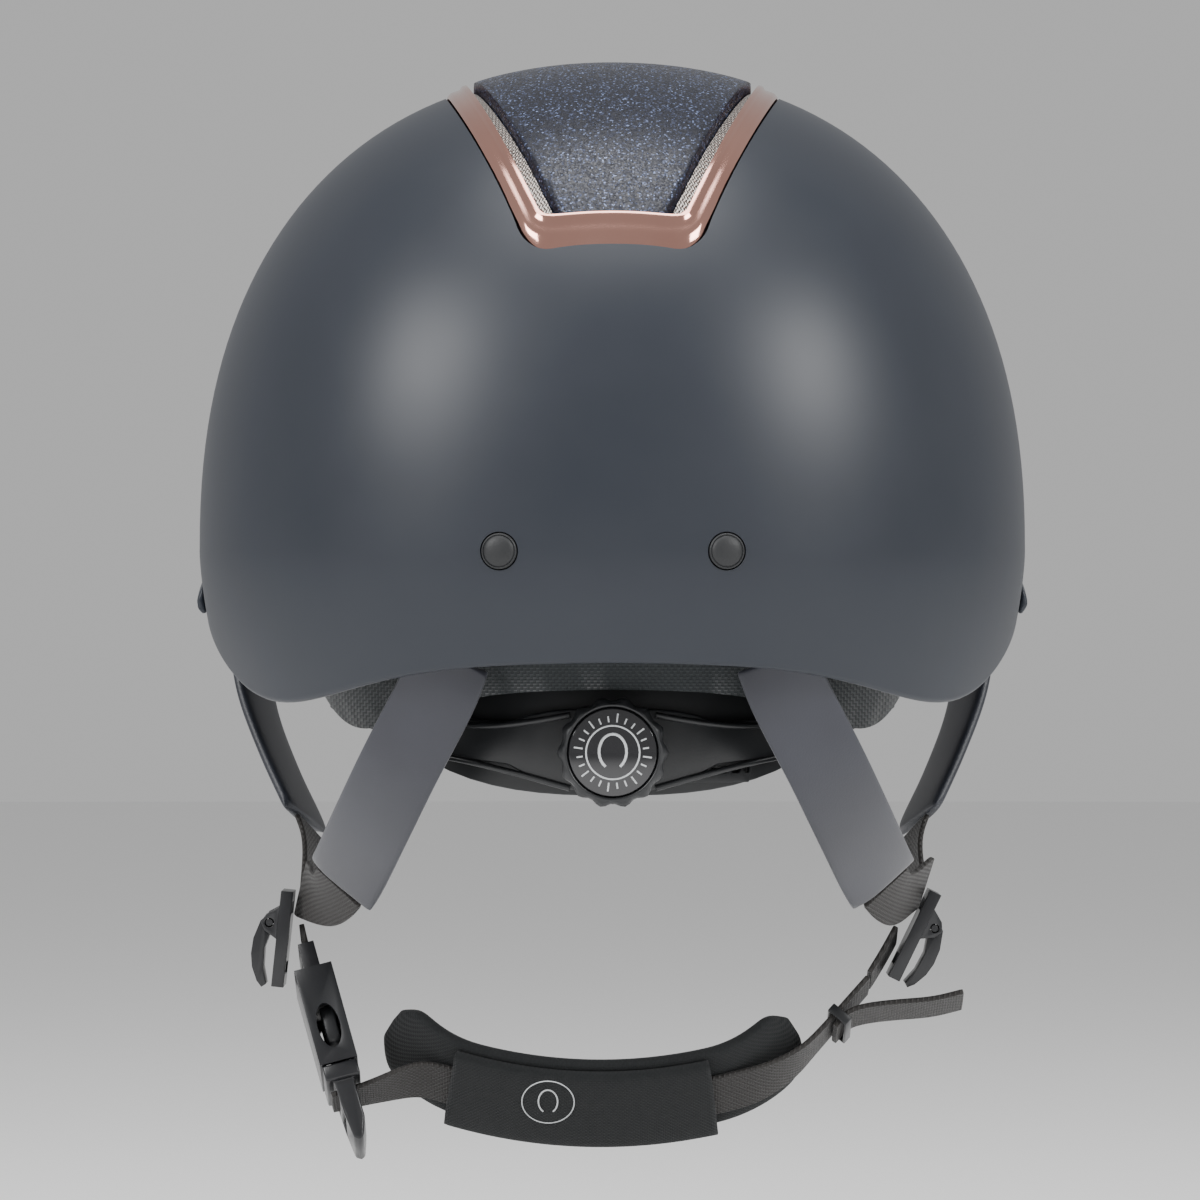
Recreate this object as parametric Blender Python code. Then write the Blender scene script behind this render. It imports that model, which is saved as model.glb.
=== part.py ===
"""Equestrian riding helmet, as separate solids in one frame.

Metres. +Z is up, +Y is the wearer's forward direction and +X the wearer's right.
The origin is the centre of the crown pad's flat underside, where the helmet rests on the head.
"""

from math import cos, degrees, exp, pi, radians, sin, sqrt

import bmesh
import bpy
from mathutils import Matrix, Vector

# ---------------------------------------------------------------- driving dimensions
HALF_WIDTH = 0.1075        # shell, centre to side, at its widest level
REAR_LENGTH = 0.122        # shell, centre to back
FRONT_LENGTH = 0.130       # shell, centre to brow
DOME_HEIGHT = 0.125        # widest level to the top of the shell
DOME_POWER = 2.3           # roundness of plan and profile: 2 is an ellipse
TUCK = 0.058               # how far the skirt draws in, as a share, at TUCK_DEPTH
TUCK_DEPTH = 0.036
SKIRT_REAR = 0.028         # widest level to the lower edge, at the back
SKIRT_FRONT = 0.003        # the same, at the brow
LOBE_DROP = 0.015          # how far the edge dips behind each ear
LOBE_AT = 52.0             # where it dips, degrees from the back
LOBE_SPREAD = 24.0
SEGMENTS = 64              # around the dome

SHELL_WALL = 0.003
LINER_WALL = 0.018
PAD_WALL = 0.005
CROWN_PAD_THICK = 0.0081
CROWN_PAD_RADIUS = 0.026
GAP = 0.0003               # between pieces that touch
LINER_GAP = 0.0009         # glue line between the shell and the foam
PAD_GAP = 0.0010           # between the foam and the headband
LINER_LIFT = 0.008         # the foam's edge stands this far above the shell's
HEADBAND_HANG = 0.0068     # how far the headband hangs below the shell's edge at the back

LINER_OUT = SHELL_WALL + LINER_GAP
LINER_IN = LINER_OUT + LINER_WALL
PAD_OUT = LINER_IN + PAD_GAP
PAD_IN = PAD_OUT + PAD_WALL
WIDEST_Z = CROWN_PAD_THICK + LINER_IN - DOME_HEIGHT      # height of the widest level

OPENING_HALF = 0.0435      # half-width of the crown opening at the top
OPENING_END = 0.0189       # the opening stops this far short of the shell's back
OPENING_LENGTH = REAR_LENGTH - OPENING_END               # centre to either end
OPENING_TAPER = 0.0093     # how much narrower it is at TAPER_AT
TAPER_AT = 0.072
TAPER_POWER = 2.43
OPENING_CORNER = 0.006
FRAME_BAR = 0.0056         # width of the trim frame's bar
END_SHARE = 0.70           # in plan the bar looks this much narrower at its steep ends
PANEL_RISE = 0.0030        # how far the glitter panel stands over the shell
PANEL_EDGE = 0.0020        # the same, at the panel's edges
PANEL_CORNER = 0.004
VENT_NARROW = 0.0013       # gap between frame and panel, at the crown
VENT_WIDE = 0.0050         # the same, at the panel's ends
VENT_START = 0.016         # the mesh strips start this far from the crown
VENT_END_GAP = 0.0030      # and stop this far short of the frame's end

PEAK_REACH = 0.034         # how far the peak stands out at the brow
PEAK_WING = 0.0022         # how far its wings stand out at the sides
PEAK_SPAN = 92.0           # degrees from the brow to each wing's tip
PEAK_POWER = 3.2           # how quickly the peak narrows into its wings

PLUG_RADIUS = 0.0045
PLUG_X = 0.0282
PLUG_DROP = 0.0004         # below the widest level

CRADLE_WALL = 0.0022
CRADLE_SIDE_GAP = 0.0022   # the cradle's arc stays this far inside the headband at the sides
CRADLE_BACK_GAP = 0.0087   # and this far at the back
CRADLE_REACH = 48.0        # degrees from the back to each arm's end
HUB_HALF = 0.0108          # half-height of the cradle at its hub
HUB_SPREAD = 23.0          # degrees over which the hub runs out
WAIST_HALF = 0.0052        # half-height of an arm at its waist
WAIST_AT = 26.0
ARM_FLARE = 0.0018
ARM_RISE = 0.0055          # how much higher an arm's end is than the dial
COVER_REACH = 50.0         # degrees from the back to the inner cover's ends
COVER_TOP = 0.0175         # over the dial's axis
COVER_LOW = 0.0112         # under the dial's axis
COVER_SWEEP = 0.0152       # how much its lower edge rises towards its ends
BAND_WALL = 0.0014
BACKING_WALL = 0.0016
NAPE_WALL = 0.0040
DIAL_DROP = 0.0506         # dial's axis, below the widest level
KNOB_RADIUS = 0.0140
KNOB_DEPTH = 0.0084
KNOB_SCALLOPS = 14
KNOB_BITE = 0.00055        # depth of the scallops
CAP_RADIUS = 0.0111
HUB_RADIUS = 0.0126
HUB_DEPTH = 0.0018
SHAFT_RADIUS = 0.0020
PINION_TEETH = 8
PINION_PITCH = 0.0045      # pitch radius
TOOTH_HEIGHT = 0.0013
RACK_BACK = 0.0024         # height of the rack behind its teeth
BAND_HEIGHT = 0.0070
BAND_TAIL = 11.5           # degrees the toothed tail runs past the pinion
BAND_WIDE_AT = 29.0        # where the band widens to its full height
BAND_END = 78.0
BAND_LIFT = 0.0040         # how much more the band rises beyond the cradle

CRADLE_RADIUS = HALF_WIDTH - PAD_IN - CRADLE_SIDE_GAP
CRADLE_CENTRE_Y = CRADLE_RADIUS - (REAR_LENGTH - PAD_IN) + CRADLE_BACK_GAP
BAND_OUT = CRADLE_RADIUS - CRADLE_WALL - GAP * 2
BAND_IN = BAND_OUT - BAND_WALL
BAND_MIDDLE = (BAND_OUT + BAND_IN) / 2
BACKING_OUT = BAND_IN - GAP * 2
BACKING_IN = BACKING_OUT - BACKING_WALL
NAPE_OUT = BACKING_IN - GAP * 2
DIAL_Z = WIDEST_Z - DIAL_DROP
HUB_FRONT = CRADLE_CENTRE_Y - CRADLE_RADIUS - GAP - HUB_DEPTH
KNOB_BACK = HUB_FRONT - GAP
KNOB_FRONT = KNOB_BACK - KNOB_DEPTH

STRAP_WIDTH = 0.0205       # leather rear straps
STRAP_WALL = 0.0020
SLEEVE_WIDTH = 0.0250      # padded front sleeves
SLEEVE_WALL = 0.0036
WEB_WIDTH = 0.0150
WEB_WALL = 0.0014
WEB_ROOM = 0.0004          # half the play of webbing in a slot, across its width

DIVIDER_HALF_WALL = 0.0016
DIVIDER_TOP, DIVIDER_FOOT = 0.0135, 0.0115
DIVIDER_SLOTS = (-0.0066, 0.0092)
SLOT_HALF = 0.0016
PIN_OUT, PIN_UP = 0.0038, 0.0050
PIN_RADIUS = 0.0009
EAR_IN, EAR_OUT = 0.0088, 0.0105

LOOP_Y = 0.006             # line through both dividers, about which the chin strap swings
LOOP_DROP = 0.101          # that line, below the widest level
LOOP_TILT = -20.0          # degrees the hanging chin strap leans forward of straight down
LOOP_Z = WIDEST_Z - LOOP_DROP
RIBBON_CONE = -22.0        # extra lean of the webbing under the chin
CHIN_RADIUS = 0.130        # arc of the webbing under the chin
CHIN_X = -0.003            # where that arc is lowest
CHIN_DEPTH = 0.0465        # how far below the swing line
BEND_FROM, BEND_TO = 17.0, 49.0          # where the webbing bends up beside the chin, degrees
BEND_RADIUS = 0.038
KEEPER_AT = 0.0088         # from the end of that bend to the keeper
KEEPER_WALL = 0.0007
KEEPER_HALF = 0.0013       # half its length along the strap
PAD_WIDTH = 0.0290
PAD_THICK = 0.0036
PAD_CORNER = 0.008
WING_RADIUS = 0.036
WING_TURN = 44.0
SLEEVE_FROM, SLEEVE_TO = -17.5, 13.0     # degrees of arc that the pad's sleeve covers

BUCKLE_IN = 0.0275         # top of the buckle, inside the shell's widest line
BUCKLE_TOP = (BUCKLE_IN - HALF_WIDTH, 0.0044)
BUCKLE_LEAN = 15.5         # degrees from straight down
BUCKLE_HALF_WIDTH = 0.0120
BUCKLE_HALF_THICK = 0.0050
FEMALE_LENGTH = 0.034
MALE_LENGTH = 0.021
BAR_LENGTH = 0.0074
CAVITY_THICK = 0.0037
CAVITY_HALF = 0.0103
CAVITY_DEPTH = 0.0180
WINDOW_AT = 0.0240
WINDOW_HALF_LENGTH = 0.0062
WINDOW_HALF_THICK = 0.0030
PRONG_ROOT = (0.0334, 0.0074)            # down the buckle and out from its middle
PRONG_FACES = (-0.0013, 0.0024)          # thinner on the side that rises as the plug leaves
MALE_START = FEMALE_LENGTH + GAP
OPEN_AT = (HALF_WIDTH - 0.0405, 0.0125)  # where the released strap folds, by the right divider


# ---------------------------------------------------------------- scene and materials
for old in list(bpy.data.objects):
    bpy.data.objects.remove(old)


def material(name, colour, roughness, metallic=0.0):
    made = bpy.data.materials.new(name)
    made.use_nodes = True
    shader = made.node_tree.nodes["Principled BSDF"]
    shader.inputs["Base Color"].default_value = (*colour, 1.0)
    shader.inputs["Roughness"].default_value = roughness
    shader.inputs["Metallic"].default_value = metallic
    return made


SHELL_PAINT = material("shell_matte_navy", (0.045, 0.055, 0.070), 0.45)
GLITTER = material("panel_glitter_navy", (0.020, 0.026, 0.055), 0.50)
ROSE_CHROME = material("rose_gold_chrome", (0.60, 0.36, 0.31), 0.12, 1.0)
STEEL_MESH = material("steel_mesh", (0.50, 0.47, 0.45), 0.40, 0.8)
FOAM = material("liner_foam", (0.03, 0.03, 0.03), 0.90)
KNIT = material("knit_lining", (0.012, 0.020, 0.020), 0.90)
PLASTIC = material("black_plastic", (0.015, 0.016, 0.018), 0.35)
GLOSS = material("gloss_black", (0.008, 0.008, 0.010), 0.10)
LEATHER = material("slate_microfibre", (0.085, 0.090, 0.120), 0.50)
WEBBING = material("brown_black_webbing", (0.030, 0.024, 0.021), 0.70)
NEOPRENE = material("black_neoprene", (0.010, 0.015, 0.017), 0.85)


# ---------------------------------------------------------------- making solids
def add_object(name, bm, paint, smooth=None, parent=None):
    """Turns a bmesh into a named object, with its faces out and one material."""
    bmesh.ops.recalc_face_normals(bm, faces=bm.faces)
    mesh = bpy.data.meshes.new(name)
    bm.to_mesh(mesh)
    bm.free()
    mesh.materials.append(paint)
    obj = bpy.data.objects.new(name, mesh)
    bpy.context.scene.collection.objects.link(obj)
    if smooth:
        mesh.shade_smooth()
        mesh.set_sharp_from_angle(angle=radians(smooth))
    if parent:
        obj.parent = parent
    return obj


def add_empty(name, location=(0, 0, 0), matrix=None, parent=None):
    """A guide that holds a group of pieces, on a joint's axis or in a tilted frame."""
    empty = bpy.data.objects.new(name, None)
    bpy.context.scene.collection.objects.link(empty)
    empty.matrix_local = matrix if matrix else Matrix.Translation(location)
    if parent:
        empty.parent = parent
    return empty


def loft(sections, around=False, bm=None):
    """Joins equal closed sections into one solid; around joins the last to the first."""
    bm = bm or bmesh.new()
    rows = [[bm.verts.new(p) for p in section] for section in sections]
    count = len(rows[0])
    pairs = list(zip(rows, rows[1:]))
    if around:
        pairs.append((rows[-1], rows[0]))
    for low, high in pairs:
        for k in range(count):
            nxt = (k + 1) % count
            bm.faces.new((low[k], low[nxt], high[nxt], high[k]))
    if not around:
        bm.faces.new(list(reversed(rows[0])))
        bm.faces.new(rows[-1])
    return bm


def box(low, high, bm=None):
    """A plain block between two corners."""
    (x0, y0, z0), (x1, y1, z1) = low, high
    ring = [(x0, y0), (x1, y0), (x1, y1), (x0, y1)]
    return loft([[(x, y, z0) for x, y in ring], [(x, y, z1) for x, y in ring]], bm=bm)


def prism(outline, low, high, axis="Z", bm=None):
    """A flat outline drawn out along an axis. The outline's two values fill the other axes."""
    def place(u, v, w):
        if axis == "X":
            return (w, u, v)
        return (u, w, v) if axis == "Y" else (u, v, w)

    return loft([[place(u, v, w) for u, v in outline] for w in (low, high)], bm=bm)


def disc_outline(radius, count, centre=(0.0, 0.0), squash=1.0):
    """Points round a circle, or round an oval when squash isn't 1."""
    return [(centre[0] + radius * cos(2 * pi * k / count),
             centre[1] + radius * squash * sin(2 * pi * k / count)) for k in range(count)]


def round_edges(bm, width, segments=1, least=40.0):
    """Bevels every edge that turns more than the least angle."""
    edges = [e for e in bm.edges if e.is_manifold and e.calc_face_angle(0.0) > radians(least)]
    bmesh.ops.bevel(bm, geom=edges, offset=width, segments=segments, affect="EDGES",
                    clamp_overlap=True)
    return bm


def combine(obj, bm, operation, matrix=None):
    """Cuts or adds a helper shape with an exact Boolean; the helper stays out of the model."""
    bmesh.ops.recalc_face_normals(bm, faces=bm.faces)
    mesh = bpy.data.meshes.new(obj.name + "_cut")
    bm.to_mesh(mesh)
    bm.free()
    tool = bpy.data.objects.new(obj.name + "_cut", mesh)
    bpy.context.scene.collection.objects.link(tool)
    tool.hide_render = True
    tool.display_type = "WIRE"
    tool.parent = obj.parent
    if matrix:
        tool.matrix_local = matrix
    change = obj.modifiers.new(operation.title(), "BOOLEAN")
    change.operation = operation
    change.object = tool
    change.solver = "EXACT"


# ---------------------------------------------------------------- the dome's surface
def lengthwise(y, inset):
    return (REAR_LENGTH if y < 0 else FRONT_LENGTH) - inset


def dome_z(x, y, inset):
    """Height of the dome over a plan point, for a surface inset from the shell's outside."""
    share = (abs(x) / (HALF_WIDTH - inset)) ** DOME_POWER
    share += (abs(y) / lengthwise(y, inset)) ** DOME_POWER
    return WIDEST_Z + (DOME_HEIGHT - inset) * (1 - share) ** (1 / DOME_POWER)


def level_scale(z, inset):
    """How wide the dome is at a height, as a share of its widest level."""
    if z >= WIDEST_Z:
        rise = (z - WIDEST_Z) / (DOME_HEIGHT - inset)
        return (1 - rise ** DOME_POWER) ** (1 / DOME_POWER)
    return 1 - TUCK * ((WIDEST_Z - z) / TUCK_DEPTH) ** 1.5


def dome_point(azimuth, z, inset):
    """A point on the dome. Azimuth is in degrees: 0 at the back, 90 at the wearer's right."""
    side, back = sin(radians(azimuth)), cos(radians(azimuth))
    share = (abs(side) / (HALF_WIDTH - inset)) ** DOME_POWER
    share += (abs(back) / lengthwise(-back, inset)) ** DOME_POWER
    radius = share ** (-1 / DOME_POWER) * level_scale(z, inset)
    return Vector((radius * side, -radius * back, z))


def edge_z(azimuth):
    """Height of the shell's lower edge, with a lobe behind each ear."""
    turn = abs((azimuth + 180) % 360 - 180)
    middle = WIDEST_Z - (SKIRT_REAR + SKIRT_FRONT) / 2
    swing = (SKIRT_FRONT - SKIRT_REAR) / 2
    return middle + swing * cos(radians(turn)) - LOBE_DROP * exp(
        -((turn - LOBE_AT) / LOBE_SPREAD) ** 2)


def bowl(outer_inset, inner_inset, lift, rows, skirt_rows, segments, bevel=0.0):
    """A domed wall between two insets, whose lower edge is lift above the shell's edge."""
    def column(azimuth, inset, low):
        steps = [90 * (k + 1) / rows for k in range(rows)]
        heights = [WIDEST_Z + (DOME_HEIGHT - inset) * cos(radians(s)) ** (2 / DOME_POWER)
                   for s in steps[:-1]] + [WIDEST_Z]
        heights += [WIDEST_Z + (low - WIDEST_Z) * (k + 1) / skirt_rows for k in range(skirt_rows)]
        return [dome_point(azimuth, z, inset) for z in heights]

    bm = bmesh.new()
    columns = []
    for k in range(segments):
        azimuth = 360 * k / segments
        low = edge_z(azimuth) + lift
        points = column(azimuth, outer_inset, low + bevel)
        if bevel:
            points.append(dome_point(azimuth, low, outer_inset + bevel))
            points.append(dome_point(azimuth, low, inner_inset - bevel / 2))
        points += reversed(column(azimuth, inner_inset, low + bevel / 2))
        columns.append([bm.verts.new(p) for p in points])
    tops = [bm.verts.new((0, 0, WIDEST_Z + DOME_HEIGHT - i)) for i in (outer_inset, inner_inset)]
    for k in range(segments):
        here, there = columns[k], columns[(k + 1) % segments]
        bm.faces.new((tops[0], here[0], there[0]))
        bm.faces.new((tops[1], there[-1], here[-1]))
        for a in range(len(here) - 1):
            bm.faces.new((here[a], here[a + 1], there[a + 1], there[a]))
    return bm


# ---------------------------------------------------------------- shell, liner and peak
def opening_half(y):
    """Half-width of the crown opening, before its corners are rounded."""
    return OPENING_HALF - OPENING_TAPER * (abs(y) / TAPER_AT) ** TAPER_POWER


def opening_loop(inset, steps=7, corner_steps=3, across=2):
    """The opening's outline in plan, drawn in by an inset, as a closed list of points."""
    length = OPENING_LENGTH - inset * END_SHARE
    corner = max(OPENING_CORNER - inset * 0.6, 0.0012)
    turn_y = length - corner
    quarter = [(opening_half(turn_y * k / (steps - 1)) - inset, turn_y * k / (steps - 1))
               for k in range(steps)]
    reach = quarter[-1][0]
    narrowing = opening_half(turn_y) - opening_half(length)
    for k in range(1, corner_steps + 1):
        turn = radians(90 * k / corner_steps)
        quarter.append((reach - corner * (1 - cos(turn)) - narrowing * k / corner_steps,
                        turn_y + corner * sin(turn)))
    half_end = quarter[-1][0]
    quarter += [(half_end * (1 - k / across), length) for k in range(1, across)]
    half = [(x, -y) for x, y in reversed(quarter[1:])] + quarter
    return [(0.0, -length)] + half + [(0.0, length)] + [(-x, y) for x, y in reversed(half)]


def make_shell():
    shell = add_object("outer_shell", bowl(0, SHELL_WALL, 0, 10, 3, SEGMENTS, 0.0011),
                       SHELL_PAINT, 35)
    loop = opening_loop(0)
    combine(shell, prism(loop, -0.06, 0.06), "DIFFERENCE")
    for side in (-1, 1):
        combine(shell, prism(disc_outline(PLUG_RADIUS + GAP, 20), -0.008, 0.008),
                "DIFFERENCE", plug_frame(side))
    add_object("eps_liner", bowl(LINER_OUT, LINER_IN, LINER_LIFT, 9, 1, SEGMENTS), FOAM, 50)


def plug_frame(side):
    """Where a plug sits: on the shell's outside, with its axis along the surface normal."""
    x = side * PLUG_X
    share = 1 - (PLUG_X / HALF_WIDTH) ** DOME_POWER
    y = -REAR_LENGTH * share ** (1 / DOME_POWER)
    out = Vector((side * (PLUG_X / HALF_WIDTH) ** (DOME_POWER - 1) / HALF_WIDTH,
                  -(abs(y) / REAR_LENGTH) ** (DOME_POWER - 1) / REAR_LENGTH, 0)).normalized()
    turn = Vector((0, 0, 1)).rotation_difference(out).to_matrix().to_4x4()
    return Matrix.Translation((x, y, WIDEST_Z - PLUG_DROP)) @ turn


def make_plugs():
    for side, word in ((-1, "left"), (1, "right")):
        sections = [(PLUG_RADIUS, -SHELL_WALL + GAP), (PLUG_RADIUS, -0.0002),
                    (PLUG_RADIUS * 0.86, 0.0004), (PLUG_RADIUS * 0.45, 0.0008)]
        bm = loft([[(x, y, z) for x, y in disc_outline(r, 20)] for r, z in sections])
        plug = add_object(f"rear_plug_{word}", bm, PLASTIC, 50)
        plug.matrix_local = plug_frame(side)


def make_peak():
    """The peak: a broad brim at the brow that thins to a wing along each side."""
    step = 360 / SEGMENTS
    count = int(PEAK_SPAN // step)
    sections = []
    for k in range(-count, count + 1):
        azimuth = 180 + k * step
        share = max(cos(radians(90 * k / (count + 0.6))), 0.0)
        reach = PEAK_WING + (PEAK_REACH - PEAK_WING) * share ** PEAK_POWER
        top = edge_z(azimuth) + 0.0075 + 0.004 * share
        drop = 0.0035 + 0.0065 * share
        low = edge_z(azimuth) + 0.0006
        thick = 0.0020 + 0.0006 * share
        out = dome_point(azimuth, WIDEST_Z, 0).normalized()
        out = Vector((out.x, out.y, 0)).normalized()

        def at(distance, z):
            return dome_point(azimuth, z, -GAP) + out * distance

        tip = top - drop
        sections.append([
            at(0, top), at(0, (top + low) / 2), at(0, low),
            at(reach * 0.5, min(low, tip - thick + 0.0005 + 0.45 * (top - tip)) - 0.0002),
            at(reach * 0.96, tip - thick), at(reach, tip - thick * 0.4),
            at(reach * 0.97, tip), at(reach * 0.55, top - drop * 0.42)])
    add_object("peak", loft(sections), SHELL_PAINT, 50)


# ---------------------------------------------------------------- crown panel
def lift_loop(loop, inset):
    return [Vector((x, y, dome_z(x, y, inset))) for x, y in loop]


def make_frame():
    """The chromed frame that fills the edge of the crown opening, with a raised inner lip."""
    profile = [(GAP, 0.0024), (GAP, -0.0004), (0.0012, -0.0011), (0.0036, -0.0011),
               (0.0041, -0.0018), (0.0052, -0.0018), (FRAME_BAR, -0.0008), (FRAME_BAR, 0.0024)]
    loops = [lift_loop(opening_loop(inset), depth) for inset, depth in profile]
    sections = [[loop[k] for loop in loops] for k in range(len(loops[0]))]
    add_object("panel_frame", loft(sections, around=True), ROSE_CHROME, 40)


PANEL_LENGTH = OPENING_LENGTH - FRAME_BAR * END_SHARE - GAP


def vent_width(y):
    return VENT_NARROW + (VENT_WIDE - VENT_NARROW) * min(abs(y) / OPENING_LENGTH, 1) ** 0.8


def panel_half(y):
    """Half-width of the glitter panel, with rounded corners at its ends."""
    half = opening_half(y) - FRAME_BAR - vent_width(y)
    past = abs(y) - (PANEL_LENGTH - PANEL_CORNER)
    if past <= 0:
        return half
    return half - PANEL_CORNER + sqrt(max(PANEL_CORNER ** 2 - past ** 2, 0))


def make_panel():
    """The glitter panel, domed over the frame, as rows across the crown from back to front."""
    rows = [sin(radians(-90 + 180 * k / 18)) * PANEL_LENGTH for k in range(19)]
    across = [-1, -0.93, -0.75, -0.4, 0, 0.4, 0.75, 0.93, 1]
    sections = []
    for y in rows:
        half = panel_half(y)
        end = 1 - (abs(y) / PANEL_LENGTH) ** 6
        rises = [PANEL_EDGE * (0.3 + 0.7 * end) + (PANEL_RISE - PANEL_EDGE) * (1 - u * u) * end
                 for u in across]
        top = [Vector((u * half, y, dome_z(u * half, y, 0) + rise))
               for u, rise in zip(across, rises)]
        base = [Vector((u * half, y, dome_z(u * half, y, SHELL_WALL - GAP)))
                for u in reversed(across[::2])]
        sections.append(top + base)
    add_object("top_panel", loft(sections), GLITTER, 40)


def make_vents():
    """Four strips of metal mesh, sunk between the frame and the panel."""
    first, last = VENT_START, PANEL_LENGTH - VENT_END_GAP
    for end, word in ((-1, "rear"), (1, "front")):
        for side, hand in ((-1, "left"), (1, "right")):
            sections = []
            for k in range(9):
                y = end * (first + (last - first) * k / 8)
                outer = opening_half(y) - FRAME_BAR - GAP
                inner = panel_half(y) + GAP
                sections.append([Vector((side * x, y, dome_z(side * x, y, depth)))
                                 for x, depth in ((outer, 0.0012), (inner, 0.0012),
                                                  (inner, 0.0022), (outer, 0.0022))])
            add_object(f"vent_mesh_{word}_{hand}", loft(sections), STEEL_MESH, 40)


make_shell()
make_plugs()
make_peak()
make_frame()
make_panel()
make_vents()


# ---------------------------------------------------------------- comfort pads
def make_headband():
    """The knitted comfort band inside the foam; at the back it hangs below the shell's edge."""
    sections = []
    for k in range(SEGMENTS):
        azimuth = 360 * k / SEGMENTS
        turn = abs((azimuth + 180) % 360 - 180)
        blend = min(max((turn - 75) / 30, 0), 1)
        low = edge_z(azimuth) - HEADBAND_HANG + 0.0110 * blend
        high = WIDEST_Z + 0.014
        middle = (low + WIDEST_Z) / 2
        sections.append([dome_point(azimuth, high, PAD_OUT), dome_point(azimuth, WIDEST_Z, PAD_OUT),
                         dome_point(azimuth, middle, PAD_OUT),
                         dome_point(azimuth, low + 0.0015, PAD_OUT),
                         dome_point(azimuth, low, (PAD_OUT + PAD_IN) / 2),
                         dome_point(azimuth, low + 0.0015, PAD_IN),
                         dome_point(azimuth, middle, PAD_IN), dome_point(azimuth, WIDEST_Z, PAD_IN),
                         dome_point(azimuth, high, PAD_IN)])
    add_object("headband_pad", loft(sections, around=True), KNIT, 50)


def make_crown_pad():
    """The crown pad: flat below, where it meets the head, and domed above to fit the foam."""
    rings = [(share, [(x, y) for x, y in disc_outline(CROWN_PAD_RADIUS * share, 24, squash=1.25)])
             for share in (1.0, 0.97, 0.75, 0.45, 0.15)]
    sections = [[(x * 0.97, y * 0.97, 0.0) for x, y in rings[0][1]],
                [(x, y, 0.0008) for x, y in rings[0][1]]]
    sections += [[(x, y, dome_z(x, y, LINER_IN) - 2 * GAP) for x, y in ring]
                 for share, ring in rings[1:]]
    add_object("crown_pad", loft(sections), KNIT, 50)


make_headband()
make_crown_pad()


# ---------------------------------------------------------------- dial and size bands
def arc_point(angle, radius, z):
    """A point on the shared arc: angle in degrees from the back, towards the wearer's right."""
    return Vector((radius * sin(radians(angle)),
                   CRADLE_CENTRE_Y - radius * cos(radians(angle)), z))


def arc_plate(angles, low_at, high_at, outer, inner):
    """A curved plate between two radii, with its lower and upper edges given by functions."""
    return loft([[arc_point(a, outer, low_at(a)), arc_point(a, outer, high_at(a)),
                  arc_point(a, inner, high_at(a)), arc_point(a, inner, low_at(a))]
                 for a in angles])


def steps(low, high, count):
    return [low + (high - low) * k / (count - 1) for k in range(count)]


def arm_half(angle):
    """Half-height of the cradle: a round hub, a waist on each side and wider ends."""
    turn = abs(angle)
    hub = HUB_HALF * max(0.0, 1 - (turn / HUB_SPREAD) ** 2) ** 0.5
    flare = ARM_FLARE * min(max((turn - WAIST_AT) / 20, 0), 1)
    return max(hub, WAIST_HALF) + flare


def arm_centre(angle):
    return DIAL_Z + ARM_RISE * (abs(angle) / CRADLE_REACH) ** 1.2


def backing_low(angle):
    return DIAL_Z - COVER_LOW + COVER_SWEEP * (abs(angle) / COVER_REACH) ** 2.6


def make_cradle():
    """The rear cradle and its inner cover, with the bands running between them."""
    angles = steps(-CRADLE_REACH, CRADLE_REACH, 25)
    cradle = add_object("cradle", arc_plate(
        angles, lambda a: arm_centre(a) - arm_half(a), lambda a: arm_centre(a) + arm_half(a),
        CRADLE_RADIUS, CRADLE_RADIUS - CRADLE_WALL), PLASTIC, 40)
    back = CRADLE_CENTRE_Y - CRADLE_RADIUS
    bore = prism(disc_outline(SHAFT_RADIUS + GAP, 16, (0, DIAL_Z)), back - 0.02, back + 0.02, "Y")
    combine(cradle, bore, "DIFFERENCE")
    hub = prism(disc_outline(HUB_RADIUS, 32, (0, DIAL_Z)), HUB_FRONT, HUB_FRONT + HUB_DEPTH, "Y")
    hub = add_object("dial_housing", hub, PLASTIC, 40)
    bore = prism(disc_outline(SHAFT_RADIUS + GAP, 16, (0, DIAL_Z)), back - 0.02, back + 0.02, "Y")
    combine(hub, bore, "DIFFERENCE")
    wide = steps(-COVER_REACH, COVER_REACH, 21)
    add_object("cradle_backing", arc_plate(
        wide, backing_low, lambda a: DIAL_Z + COVER_TOP, BACKING_OUT, BACKING_IN), PLASTIC, 40)
    add_object("nape_pad", arc_plate(
        wide, lambda a: backing_low(a) + 0.0004, lambda a: DIAL_Z + COVER_TOP - 0.0004, NAPE_OUT,
        NAPE_OUT - NAPE_WALL), KNIT, 40)


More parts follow.
